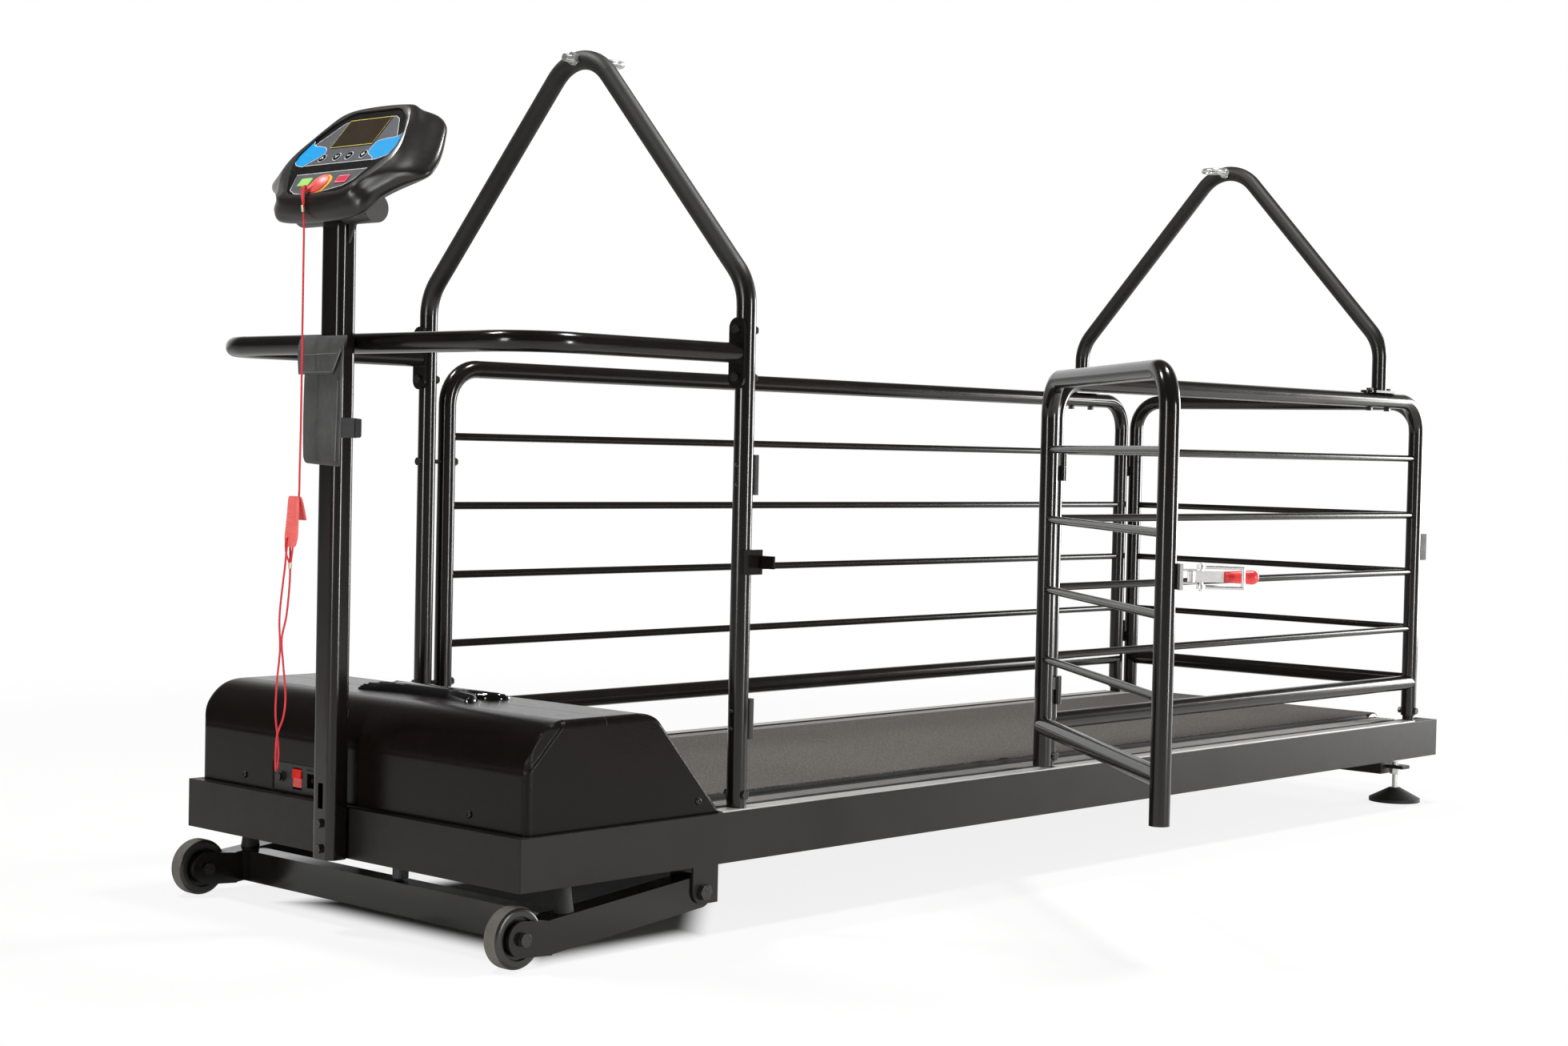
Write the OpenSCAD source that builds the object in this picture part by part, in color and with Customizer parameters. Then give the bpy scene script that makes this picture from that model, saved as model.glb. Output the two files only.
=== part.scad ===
// Dog treadmill with an incline frame, guard panels, two gates, leash arches and a console.
// Millimetres. X runs from front to rear, the side gate is on the -Y side, Z is up.
// x = 0 is the front face of the frame, y = 0 its centre line and z = 0 the floor.

/* [Frame] */
// Length of the frame
frame_l = 2118; // [1900:2:2300]
// Width of the frame over both side rails
frame_w = 660; // [620:2:720]
// Height of the rails' underside above the floor
rail_z = 88; // [80:1:100]
// Height of a side rail
rail_h = 62; // [55:1:75]
// Width of a side rail's box
rail_w = 40; // [34:1:50]
// Wall of the welded steel parts
steel_t = 3; // [2:0.5:4]
// Distance of the rear feet from the rear end
foot_inset_x = 15; // [10:1:60]
// Distance of the rear feet from the outside of the frame
foot_inset_y = 70; // [60:1:120]
// Diameter of a foot pad
foot_d = 88; // [60:1:100]

/* [Deck] */
// Distance of the belt's edges from the outside of the frame
side_w = 96; // [92:1:120]
// Thickness of the running belt
belt_t = 2.2; // [1.5:0.1:3]
// Thickness of the deck board
deck_t = 18; // [15:1:22]
// Height of the deck board above the rails
deck_rise = 4.5; // [2:0.5:8]
// Diameter of both rollers
roller_d = 45; // [40:1:50]
// Distance of the front roller from the front
front_roller_x = 262; // [250:1:275]
// Distance of the rear roller from the rear end
rear_roller_inset = 54; // [48:1:80]

/* [Cage] */
// Diameter of the posts, arches and rails
tube_d = 25; // [22:1:28]
// Diameter of the panel bars
bar_d = 11; // [8:1:14]
// Distance of the posts' axes from the outside of the frame
post_inset = 20; // [16:1:26]
// Height of the top rails
top_rail_z = 703; // [600:1:760]
// Height of the bottom rails
low_rail_z = 217; // [200:1:240]
// Height of the lowest bar
low_bar_z = 311; // [290:1:330]
// Distance between bars
bar_pitch = 98.3; // [80:0.1:110]
// Bend radius of the panels' corners
corner_r = 52; // [40:1:80]
// Distance of the front arch from the front
arch_x = 370; // [350:1:420]
// Distance of the rear arch from the rear end
rear_arch_inset = 198; // [160:1:320]
// Height at which an arch turns inwards
eave_z = 801; // [780:1:860]
// Height of the arch's peak before it is rounded
peak_z = 1138; // [1060:1:1200]
// Bend radius of the arches
arch_r = 70; // [50:1:90]
// Height of the handrail
handrail_z = 715; // [690:1:760]
// Bend radius of the handrail
handrail_r = 75; // [50:1:110]
// Distance of the far panel's front post from the front
far_post_x = 406; // [400:1:440]
// Distance of the near panel's front post from the front
near_post_x = 1010; // [900:1:1100]
// Distance of both panels' rear posts from the rear end
rear_post_inset = 66; // [60:1:120]

/* [Gates] */
// Angle at which the side gate stands open
gate_open = 51.5; // [0:0.5:90]
// Distance of the side gate's hinge post from the front
gate_hinge_x = 970; // [860:1:975]
// Distance of the side gate's free post from the front
gate_free_x = 414; // [410:1:460]
// Distance of the rear gate behind the rear posts
rear_gate_gap = 33; // [30:1:40]
// Height of the lower hinges
low_hinge_z = 265; // [240:1:290]
// Height of the upper hinges
high_hinge_z = 582; // [540:1:596]
// Height of the latch
latch_z = 457; // [430:1:470]

/* [Incline] */
// Distance of the incline pivot from the front
pivot_x = 294; // [285:1:320]
// Height of the incline pivot
pivot_z = 57; // [50:1:60]
// Distance of the wheels' axis from the front
wheel_x = 5; // [0:1:15]
// Diameter of the wheels
wheel_d = 72; // [60:1:76]
// Width of a wheel
wheel_w = 24; // [18:1:26]
// Height of an arm
arm_h = 40; // [30:1:44]

/* [Hood] */
// Distance of the hood's sides from the outside of the frame
hood_inset = 8; // [4:1:30]
// Height of the hood above the rails
hood_h = 130; // [110:1:150]
// Distance of the hood from the front face
hood_x = 14; // [8:1:20]
// Length of the hood along the rails
hood_l = 314; // [290:1:325]
// Wall of the hood
hood_t = 3; // [2:0.5:4]

/* [Mast and console] */
// Sideways place of the mast
mast_y = 5; // [-20:1:20]
// Depth of the mast
mast_dx = 30; // [24:1:36]
// Width of the mast
mast_dy = 40; // [30:1:50]
// Height of the console bar
bar_z = 874; // [820:1:920]
// Diameter of the console bar
console_bar_d = 35; // [30:1:42]
// Length of the console bar
console_bar_l = 144; // [100:1:180]
// Tilt of the console's face back from upright
console_tilt = 49.3; // [30:0.1:70]
// Sideways place of the console
console_y = -1; // [-20:1:20]
// Distance of the face's datum from the front
console_x = 31; // [0:1:60]
// Height of the face's datum
console_z = 989; // [900:1:1040]
// Width of the display
display_w = 82; // [60:1:100]
// Height of the display
display_h = 47.5; // [30:0.5:60]

/* [Hidden] */
$fn = 48;
// fits and overruns
over = 2;
touch = 0.1;
run_fit = 0.05;
slip = 0.2;
body_gap = 0.3;
// straights lap into bends by this much, and a bend is this much thicker all round
bend_lap = 1;
bend_swell = 0.08;
round_swell = 0.05;
// derived frame sizes
half_w = frame_w / 2;
rail_top = rail_z + rail_h;
rail_in = half_w - rail_w;
post_y = half_w - post_inset;
tube_r = tube_d / 2;
foot_y = half_w - foot_inset_y;
belt_w = frame_w - 2 * side_w;
rear_roller_x = frame_l - rear_roller_inset;
rear_arch_x = frame_l - rear_arch_inset;
rear_post_x = frame_l - rear_post_inset;
rear_gate_x = rear_post_x + rear_gate_gap;
hood_half_w = half_w - hood_inset;
deck_lip = 6;
shelf_gap = 4;
ledge_gap = 1.5;
shelf_inset = 74;
shelf_in = belt_w / 2 + deck_lip + shelf_gap;
shelf_front = 306;
shelf_rear = frame_l - shelf_inset;
ledge_in = belt_w / 2 + ledge_gap;
strip_t = 2;
strip_front = hood_x + hood_l + body_gap;
strip_rib = 3.6;
strip_edge = 2;
strip_in = 6;
strip_out = 1;
strip_groove = 12.5;
// deck and belt
deck_inset = 84;
deck_half_w = belt_w / 2 + deck_lip;
deck_front = shelf_front;
deck_rear = frame_l - deck_inset;
deck_top = rail_top + deck_rise;
loop_r = roller_d / 2 + body_gap;
roller_z = deck_top + body_gap - loop_r;
roller_half_l = ledge_in - 2 * slip;
axle_d = 14;
// stubs under the posts
stub_d = 19;
stub_h = 42;
post_lift = 10;
base_bolt_up = 18;
base_bolt_z = rail_top + base_bolt_up;
// fasteners
bolt_d = 6;
bolt_hole_d = bolt_d + 2 * slip;
bolt_head_d = 11;
bolt_head_h = 4;
nut_d = 11.5;
nut_h = 5;
pivot_d = 12;
pivot_head_d = 20;
pivot_head_h = 7;
// ears that carry the incline frame
ear_t = 3;
ear_rear = 320;
ear_low = 42;
ear_r = 17;
arm_out = half_w - ear_t - body_gap;
arm_w = 32;
arm_slope = 5.8;
arm_front = 45;
cross_x = 60;
cross_w = 30;
fork_t = 4;
fork_r = 21;
fork_rear = 50;
wheel_z = wheel_d / 2;
wheel_inset = 17;
wheel_y = half_w - wheel_inset;
wheel_bore = 10;
hub_d = 34;
bumper_x = 84;
bumper_d = 30;
bumper_top_d = 16;
// rear feet
foot_x = frame_l - foot_inset_x;
beam_inset = 40;
beam_side = 14;
beam_front = frame_l - beam_inset;
beam_low = 48;
beam_half_l = foot_y - beam_side;
lug_z = 58;
lug_t = 6;
stud_d = 10;
stud_low = 12;
stud_top = 70;
foot_h = 24;

black = [0.09, 0.09, 0.09];
satin = [0.2, 0.2, 0.19];
silver = [0.75, 0.75, 0.73];
grey = [0.4, 0.39, 0.37];
red = [0.9, 0.25, 0.22];

function unit(v) = v / norm(v);
function turn(a, b, c) = let (u = unit(b - a), v = unit(c - b)) atan2(u[0] * v[1] - u[1] * v[0], u * v);
function cut(p, i, r) = i == 0 || i == len(p) - 1 ? 0 : r * tan(abs(turn(p[i - 1], p[i], p[i + 1])) / 2);
function left(u) = [-u[1], u[0]];

// A box between two corners.
module slab(a, b) {
    translate(a) cube(b - a);
}

// A round tube bent along points in the XY plane. The straights run a little into the bends.
module bent_tube(p, d, r) {
    for (i = [0 : len(p) - 2]) {
        u = unit(p[i + 1] - p[i]);
        lap_a = i == 0 ? 0 : bend_lap;
        lap_b = i == len(p) - 2 ? 0 : bend_lap;
        a = p[i] + u * (cut(p, i, r) - lap_a);
        w = norm(p[i + 1] - p[i]) - cut(p, i, r) - cut(p, i + 1, r) + lap_a + lap_b;
        translate([a[0], a[1], 0]) rotate([0, 0, atan2(u[1], u[0])]) rotate([0, 90, 0]) cylinder(d = d, h = w);
    }
    for (i = [1 : len(p) - 2]) {
        u = unit(p[i] - p[i - 1]);
        t = turn(p[i - 1], p[i], p[i + 1]);
        c = p[i] - u * cut(p, i, r) + left(u) * r * sign(t);
        s = -left(u) * sign(t);
        translate([c[0], c[1], 0]) rotate([0, 0, atan2(s[1], s[0]) + min(t, 0)])
            rotate_extrude(angle = abs(t)) translate([r, 0]) circle(d = d + 2 * bend_swell);
    }
}

// A convex outline with its corners rounded, each by its own radius.
module rounded(p, r) {
    n = len(p);
    polygon([for (i = [0 : n - 1]) each let (u = unit(p[(i + n - 1) % n] - p[i]), v = unit(p[(i + 1) % n] - p[i]),
        t = r[i] / tan(acos(u * v) / 2)) r[i] > 0 ? [p[i] + u * t, p[i] + v * t] : [p[i]]]);
    for (i = [0 : n - 1]) if (r[i] > 0) {
        u = unit(p[(i + n - 1) % n] - p[i]);
        v = unit(p[(i + 1) % n] - p[i]);
        translate(p[i] + unit(u + v) * r[i] / sin(acos(u * v) / 2)) circle(r = r[i] + round_swell);
    }
}

// A rectangle with round corners, centred.
module round_rect(w, h, r) {
    square([w - 2 * r, h], center = true);
    square([w, h - 2 * r], center = true);
    for (a = [-1, 1], b = [-1, 1]) translate([a * (w / 2 - r), b * (h / 2 - r)]) circle(r = r);
}

// The outline of a belt round two wheels of different sizes.
module belt_round(a, ra, b, rb) {
    u = unit(b - a);
    k = (ra - rb) / norm(b - a);
    m = u * k + left(u) * sqrt(1 - k * k);
    q = u * k - left(u) * sqrt(1 - k * k);
    translate(a) circle(r = ra);
    translate(b) circle(r = rb);
    polygon([a + m * ra, b + m * rb, b + q * rb, a + q * ra]);
}

// A bolt along +Z with its head below z = 0 and its nut at the far end.
module bolt(grip) {
    translate([0, 0, -bolt_head_h]) cylinder(d = bolt_head_d, h = bolt_head_h);
    cylinder(d = bolt_d, h = grip + nut_h + touch);
    translate([0, 0, grip]) cylinder(d = nut_d, h = nut_h, $fn = 6);
}

// A hole for such a bolt, centred.
module bolt_hole(reach) {
    cylinder(d = bolt_hole_d, h = reach, center = true);
}

// Frame

module front_skirt() {
    color(satin) difference() {
        translate([0, 0, rail_z]) linear_extrude(rail_h)
            polygon([[0, -half_w], [0, half_w], [rail_w, rail_in], [rail_w, -rail_in]]);
        slab([steel_t, -rail_in + steel_t, rail_z + steel_t],
            [rail_w + over, rail_in - steel_t, rail_top - steel_t]);
        for (z = mast_bolt_zs) translate([0, mast_y, z]) rotate([0, 90, 0]) bolt_hole(rail_w);
    }
}

stub_far_xs = [arch_x, far_post_x, rear_post_x];
stub_near_xs = [arch_x, near_post_x, rear_post_x];

module rail(xs) {
    difference() {
        union() {
            difference() {
                slab([0, rail_in, rail_z], [frame_l, half_w, rail_top]);
                slab([rail_w, rail_in + steel_t, rail_z + steel_t],
                    [frame_l - steel_t, half_w - steel_t, rail_top - steel_t]);
            }
            slab([shelf_front, shelf_in, rail_top - steel_t], [shelf_rear, rail_in, rail_top]);
            slab([shelf_front, ledge_in, deck_top - deck_t - steel_t], [shelf_rear, rail_in, deck_top - deck_t]);
            slab([shelf_front, shelf_in, deck_top - deck_t - steel_t],
                [shelf_front + steel_t, rail_in, rail_top]);
            for (y = [rail_in, half_w - ear_t]) translate([0, y + ear_t, 0]) rotate([90, 0, 0])
                linear_extrude(ear_t) {
                    translate([pivot_x, ear_low + ear_r]) circle(r = ear_r);
                    translate([pivot_x, ear_low]) square([ear_rear - pivot_x, rail_z - ear_low]);
                    translate([pivot_x - ear_r, ear_low + ear_r])
                        square([ear_rear - pivot_x + ear_r, rail_z - ear_low - ear_r]);
                }
            for (x = xs) translate([x, post_y, rail_top]) cylinder(d = stub_d, h = stub_h);
        }
        translate([0, 0, rail_z - over]) linear_extrude(rail_h + 2 * over)
            polygon([[-over, half_w], [0, half_w], [rail_w, rail_in], [rail_w, rail_in - over], [-over, rail_in - over]]);
        for (x = xs) translate([x, post_y, base_bolt_z]) rotate([90, 0, 0]) bolt_hole(tube_d);
        translate([pivot_x, half_w, pivot_z]) rotate([90, 0, 0]) cylinder(d = pivot_d + 2 * slip, h = 3 * rail_w, center = true);
    }
}

module side_rail_far() {
    color(satin) rail(stub_far_xs);
}

module side_rail_near() {
    color(satin) mirror([0, 1, 0]) rail(stub_near_xs);
}

tray_x = 232;
tray_z = rail_z + steel_t;
cross_shares = [0.2455, 0.5666, 0.8877];
cross_tube_w = 30;
cross_tube_h = 17;
rod_x = cross_x + cross_w / 2;
rod_y = -20;
rod_d = 20;

module cross_members() {
    color(black) {
        difference() {
            slab([steel_t, -rail_in + steel_t + touch, tray_z], [tray_x, rail_in - steel_t - touch, tray_z + steel_t]);
            translate([rod_x, rod_y, tray_z - over]) cylinder(d = rod_d + 2 * over, h = steel_t + 2 * over);
            for (s = [-1, 1]) slab([rail_w - tray_relief, s > 0 ? rail_in - over * 2 : -rail_in - over, tray_z - over],
                [rail_w, s > 0 ? rail_in + over : -rail_in + over * 2, tray_z + steel_t + over]);
        }
        for (s = [-1, 1]) slab([rail_w + over, s > 0 ? rail_in - steel_t - touch : -rail_in, tray_z],
            [tray_x, s > 0 ? rail_in : -rail_in + steel_t + touch, tray_z + rail_w / 2]);
        for (k = cross_shares) slab([k * frame_l, -rail_in, rail_z],
            [k * frame_l + cross_tube_w, rail_in, rail_z + cross_tube_h]);
        difference() {
            union() {
                slab([beam_front, -beam_half_l, beam_low], [frame_l, beam_half_l, rail_z]);
                slab([beam_front, -post_y, rail_z - fork_t], [frame_l, post_y, rail_z]);
                slab([foot_x - stud_d, -foot_y - 2 * stud_d, lug_z], [frame_l, foot_y + 2 * stud_d, lug_z + lug_t]);
            }
            for (s = [-1, 1]) translate([foot_x, s * foot_y, lug_z - over])
                cylinder(d = stud_d + 2 * slip, h = stud_top);
        }
    }
}
tray_relief = 37;

module foot_strips() {
    color(silver) for (s = [0, 1]) mirror([0, s, 0]) difference() {
        translate([strip_front, 0, rail_top]) rotate([90, 0, 90]) linear_extrude(shelf_rear - strip_front) {
            translate([rail_in + strip_groove, 0]) square([rail_w - strip_groove - strip_edge, strip_t]);
            translate([ribs_in, 0]) square([ribs_w, strip_t / 2]);
            for (k = [0 : strip_ribs - 1]) translate([ribs_in + k * (ribs_w - strip_rib) / (strip_ribs - 1), 0])
                square([strip_rib, strip_t]);
        }
        for (x = s == 0 ? stub_far_xs : stub_near_xs) translate([x, post_y, rail_top - over])
            cylinder(r = tube_r + slip, h = strip_t + 2 * over);
    }
}
strip_ribs = 6;
ribs_in = shelf_in + strip_in;
ribs_w = rail_in - strip_out - ribs_in;

module deck_board() {
    color(black) slab([deck_front, -deck_half_w, deck_top - deck_t], [deck_rear, deck_half_w, deck_top]);
}

module running_belt() {
    color(grey) translate([0, belt_w / 2, 0]) rotate([90, 0, 0]) linear_extrude(belt_w) difference() {
        belt_round([front_roller_x, roller_z], loop_r + belt_t, [rear_roller_x, roller_z], loop_r + belt_t);
        belt_round([front_roller_x, roller_z], loop_r, [rear_roller_x, roller_z], loop_r);
    }
}

pulley_inset = 62;
pulley_y = -half_w + pulley_inset;
pulley_w = 18;
roller_pulley_r = 34;
motor_pulley_r = 18;
drive_belt_t = 3;
motor_x = 128;
motor_z = 162;
motor_d = 96;
motor_inset = 94;
motor_l = 166;
motor_near = -half_w + motor_inset;
motor_far = motor_near + motor_l;

module on_roller(x) {
    translate([x, 0, roller_z]) rotate([90, 0, 0]) children();
}

module drive_roller() {
    color(silver) on_roller(front_roller_x) difference() {
        union() {
            cylinder(d = roller_d, h = 2 * roller_half_l, center = true);
            translate([0, 0, roller_half_l - touch]) cylinder(d = axle_d + roller_d / 3, h = -pulley_y - roller_half_l);
            translate([0, 0, -pulley_y - pulley_w / 2]) cylinder(r = roller_pulley_r, h = pulley_w);
        }
        cylinder(d = axle_d + 2 * run_fit, h = frame_w, center = true);
    }
}

module tail_roller() {
    color(silver) on_roller(rear_roller_x) difference() {
        cylinder(d = roller_d, h = 2 * roller_half_l, center = true);
        cylinder(d = axle_d + 2 * run_fit, h = frame_w, center = true);
    }
}

module roller_axles() {
    color(silver) for (x = [front_roller_x, rear_roller_x]) on_roller(x) cylinder(d = axle_d, h = 2 * rail_in, center = true);
}

module motor() {
    color(black) {
        difference() {
            union() {
                translate([motor_x, motor_far, motor_z]) rotate([90, 0, 0]) cylinder(d = motor_d, h = motor_far - motor_near);
                for (y = [motor_near + motor_d / 4, motor_far - motor_d / 4])
                    slab([motor_x - motor_d / 3, y - steel_t, tray_z + steel_t], [motor_x + motor_d / 3, y + steel_t, motor_z]);
                slab([motor_x - motor_d / 2, motor_near + motor_d / 6, tray_z + steel_t],
                    [motor_x + motor_d / 2, motor_far - motor_d / 6, tray_z + 2 * steel_t]);
            }
            translate([motor_x, motor_near, motor_z]) rotate([90, 0, 0])
                cylinder(d = axle_d + 2 * run_fit, h = motor_d / 2, center = true);
        }
    }
}

module motor_pulley() {
    color(silver) translate([motor_x, 0, motor_z]) rotate([90, 0, 0]) {
        translate([0, 0, -pulley_y - pulley_w / 2]) cylinder(r = motor_pulley_r, h = pulley_w);
        translate([0, 0, -motor_near - motor_d / 5]) cylinder(d = axle_d, h = motor_near - pulley_y + motor_d / 5);
    }
}

module drive_belt() {
    a = [front_roller_x, roller_z];
    b = [motor_x, motor_z];
    color(black) translate([0, pulley_y + pulley_w / 2 - drive_belt_t / 2, 0]) rotate([90, 0, 0])
        linear_extrude(pulley_w - drive_belt_t) difference() {
            belt_round(a, roller_pulley_r + body_gap + drive_belt_t, b, motor_pulley_r + body_gap + drive_belt_t);
            belt_round(a, roller_pulley_r + body_gap, b, motor_pulley_r + body_gap);
        }
}

controller_size = [120, 150, 46];
controller_x = 70;
controller_inset = 75;
controller_at = [controller_x, half_w - controller_inset - controller_size[1], tray_z + steel_t];

module controller() {
    color(silver) {
        slab(controller_at, controller_at + controller_size);
        for (k = [0 : fins - 1]) translate(controller_at + [k * (controller_size[0] - steel_t) / (fins - 1), 0, controller_size[2]])
            cube([steel_t, controller_size[1], 4 * steel_t]);
    }
}
fins = 9;

gear_size = [56, 70, 40];
rod_top = 200;
tube_wall = 5;

module incline_motor() {
    color(black) difference() {
        union() {
            translate([rod_x - gear_size[0] / 2, rod_y - gear_size[1] / 2, tray_z + steel_t]) cube(gear_size);
            translate([rod_x, rod_y, tray_z + steel_t]) cylinder(d = rod_d + 2 * tube_wall, h = rod_top + tube_wall - tray_z);
            translate([rod_x, rod_y + gear_size[1] - tube_wall, tray_z + steel_t + gear_size[2] - touch])
                cylinder(d = gear_size[0] - 2 * tube_wall, h = gear_size[1]);
            translate([rod_x - gear_size[0] / 2, rod_y, tray_z + steel_t]) cube([gear_size[0], 1.3 * gear_size[1], gear_size[2]]);
        }
        translate([rod_x, rod_y, 0]) cylinder(d = rod_d + 2 * run_fit, h = rod_top + touch);
    }
}

module incline_rod() {
    color(silver) intersection() {
        translate([rod_x, rod_y, cross_top + body_gap]) cylinder(d = rod_d, h = rod_top - cross_top - 2 * body_gap);
        translate([rod_x, rod_y, cross_top + body_gap + rod_d]) {
            sphere(r = rod_d);
            cylinder(d = 2 * rod_d, h = rod_top);
        }
    }
}
cross_top = arm_mid(rod_x) + arm_h / 2;
function arm_mid(x) = pivot_z - (pivot_x - x) * tan(arm_slope);

// Hood

hood_front_r = 60;
hood_rear_r = 42;
hood_slope_top = 212;
hood_edge_r = 9;

// The hood's side view, its end view and its plan, each smaller by the inset.
module hood_side(inset) {
    k = (hood_x + hood_l - hood_slope_top) / norm([hood_x + hood_l - hood_slope_top, hood_h]);
    c = inset * (1 - k) / sqrt(1 - k * k);
    low = rail_top - inset;
    rear = hood_x + hood_l - inset / sqrt(1 - k * k) + inset * k / sqrt(1 - k * k);
    top = rail_top + hood_h - inset;
    rounded([[hood_x + inset, low], [hood_x + inset, top], [hood_slope_top - c, top], [rear, low]],
        [0, hood_front_r - inset, hood_rear_r - inset, 0]);
}

module hood_form(inset) {
    half = hood_half_w - inset;
    r = hood_edge_r - inset;
    intersection() {
        translate([0, half, 0]) rotate([90, 0, 0]) linear_extrude(2 * half) hood_side(inset);
        rotate([90, 0, 90]) linear_extrude(frame_w)
            translate([0, rail_top + hood_h - inset - (hood_h + rail_h) / 2]) round_rect(2 * half, hood_h + rail_h, r);
        translate([hood_x + inset + frame_w / 2, 0, 0]) linear_extrude(frame_w) round_rect(frame_w, 2 * half, r);
    }
}

switch_y0 = 58;
switch_y1 = 164;
switch_z0 = 153;
switch_z1 = 189;
switch_lip = 4;

module hood() {
    color(black) difference() {
        hood_form(0);
        hood_form(hood_t);
        slab([hood_x + hood_l / 2, -deck_half_w - over, rail_z], [frame_l, deck_half_w + over, deck_top + belt_t + 2 * over]);
        slab([0, switch_y0, switch_z0], [hood_x + hood_t + over, switch_y1, switch_z1]);
    }
}

bone_x = 142;
bone_y = 5.5;
bone_l = 161;
bone_lobe_d = 50;
bone_lobe_gap = 56;
bone_shaft_w = 38;
bone_h = 11;
bone_skew = 2;

module bone_plate() {
    color(black) translate([bone_x, bone_y, rail_top + hood_h]) rotate([0, 0, atan2(bone_skew, bone_l)]) {
        linear_extrude(bone_h) {
            square([bone_shaft_w, bone_l], center = true);
            for (a = [-1, 1], b = [-1, 1]) translate([a * bone_lobe_gap / 2, b * bone_l / 2]) circle(d = bone_lobe_d);
        }
    }
}

plate_mid_z = (switch_z0 + switch_z1) / 2;
rocker_y = 114;
rocker_w = 18;
rocker_h = 24;
rocker_hole_w = 19;
rocker_hole_h = 27;
rocker_tilt = 8;
reset_y = 147;
reset_d = 10;
inlet_y = 79;
inlet_w = 28;
inlet_h = 22;
plate_in = 1;
plate_x = hood_x + plate_in;
plate_back = hood_x + hood_t + touch;
plate_t = 3;

module switch_plate() {
    color(black) difference() {
        union() {
            slab([plate_x, switch_y0 + slip, switch_z0 + slip], [plate_back + plate_t, switch_y1 - slip, switch_z1 - slip]);
            slab([plate_back, switch_y0 - switch_lip, rail_top + touch], [plate_back + plate_t, switch_y1 + switch_lip, switch_z1 + switch_lip]);
            translate([plate_x - over, reset_y, plate_mid_z]) rotate([0, 90, 0]) cylinder(d = reset_d + 2 * over, h = 2 * over);
        }
        slab([0, rocker_y - rocker_hole_w / 2, plate_mid_z - rocker_hole_h / 2],
            [plate_back + 2 * plate_t, rocker_y + rocker_hole_w / 2, plate_mid_z + rocker_hole_h / 2]);
        slab([0, inlet_y - inlet_w / 2, plate_mid_z - inlet_h / 2],
            [plate_back + 2 * plate_t, inlet_y + inlet_w / 2, plate_mid_z + inlet_h / 2]);
        translate([0, reset_y, plate_mid_z]) rotate([0, 90, 0]) cylinder(d = reset_d + 2 * run_fit, h = 4 * plate_back);
    }
}

rocker_in = 5;
rocker_x = plate_x + rocker_in;

module rocker_switch() {
    color(red) translate([rocker_x, rocker_y + rocker_w / 2, plate_mid_z]) rotate([90, 0, 0]) linear_extrude(rocker_w) {
        difference() {
            circle(d = rocker_h, $fn = 64);
            translate([-rocker_h - rocker_cut, -rocker_h]) square([rocker_h, 2 * rocker_h]);
            translate([rocker_cut, -rocker_h]) square([rocker_h, 2 * rocker_h]);
        }
        rotate(-rocker_tilt) translate([-rocker_cut - over, 0]) square([2 * over, rocker_h / 2 - over / 2]);
    }
}
rocker_cut = 5;

module reset_button() {
    color(black) translate([plate_x - reset_out, reset_y, plate_mid_z]) rotate([0, 90, 0]) cylinder(d = reset_d, h = reset_l);
}
reset_out = 6;
reset_l = 16;

module power_inlet() {
    color(black) difference() {
        union() {
            slab([plate_x - over, inlet_y - inlet_w / 2 - over, plate_mid_z - inlet_h / 2 - over],
                [plate_x - touch, inlet_y + inlet_w / 2 + over, plate_mid_z + inlet_h / 2 + over]);
            slab([plate_x - over, inlet_y - inlet_w / 2 + slip, plate_mid_z - inlet_h / 2 + slip],
                [plate_x + inlet_depth, inlet_y + inlet_w / 2 - slip, plate_mid_z + inlet_h / 2 - slip]);
        }
        difference() {
            slab([0, inlet_y - inlet_w / 2 + over, plate_mid_z - inlet_h / 2 + over],
                [plate_x + inlet_depth - over, inlet_y + inlet_w / 2 - over, plate_mid_z + inlet_h / 2 - over]);
            for (k = [-1, 0, 1]) slab([plate_x + over, inlet_y + k * inlet_w / 4 - touch * 10, plate_mid_z - inlet_h / 8],
                [plate_x + inlet_depth, inlet_y + k * inlet_w / 4 + touch * 10, plate_mid_z + inlet_h / 8]);
        }
    }
}
inlet_depth = 24;

// Mast

mast_r = 10;
mast_wall = 2;
mast_bolt_zs = [101, 132];
mast_slot_z0 = 150;
mast_slot_z1 = 181;
mast_slot_w = 10;
mast_x = -mast_dx / 2;

module mast() {
    color(satin) difference() {
        translate([mast_x, mast_y, rail_z]) linear_extrude(bar_z - rail_z) round_rect(mast_dx, mast_dy, mast_r);
        translate([mast_x, mast_y, rail_z + mast_wall]) linear_extrude(bar_z)
            round_rect(mast_dx - 2 * mast_wall, mast_dy - 2 * mast_wall, mast_r - mast_wall);
        translate([mast_x, mast_y, bar_z]) rotate([90, 0, 0])
            cylinder(d = console_bar_d + touch, h = 2 * mast_dy, center = true);
        slab([-mast_dx - over, mast_y - mast_slot_w / 2, mast_slot_z0], [mast_x, mast_y + mast_slot_w / 2, mast_slot_z1]);
        for (z = mast_bolt_zs) translate([mast_x, mast_y, z]) rotate([0, 90, 0]) bolt_hole(2 * mast_dx);
    }
}

gusset = 22;

module console_bar() {
    color(satin) {
        translate([mast_x, mast_y, bar_z]) rotate([90, 0, 0]) cylinder(d = console_bar_d, h = console_bar_l, center = true);
        for (s = [-1, 1]) translate([mast_x + steel_t / 2, mast_y, bar_z]) rotate([90, 0, -90]) linear_extrude(steel_t)
            polygon([[s * (mast_dy / 2 + touch), 0], [s * (mast_dy / 2 + gusset + touch), 0],
                [s * (mast_dy / 2 + touch), -console_bar_d / 2 - gusset]]);
    }
}

// Console, drawn with its face in the XY plane: X up the face, Y across, Z out of it

face_rim = 5;
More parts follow.
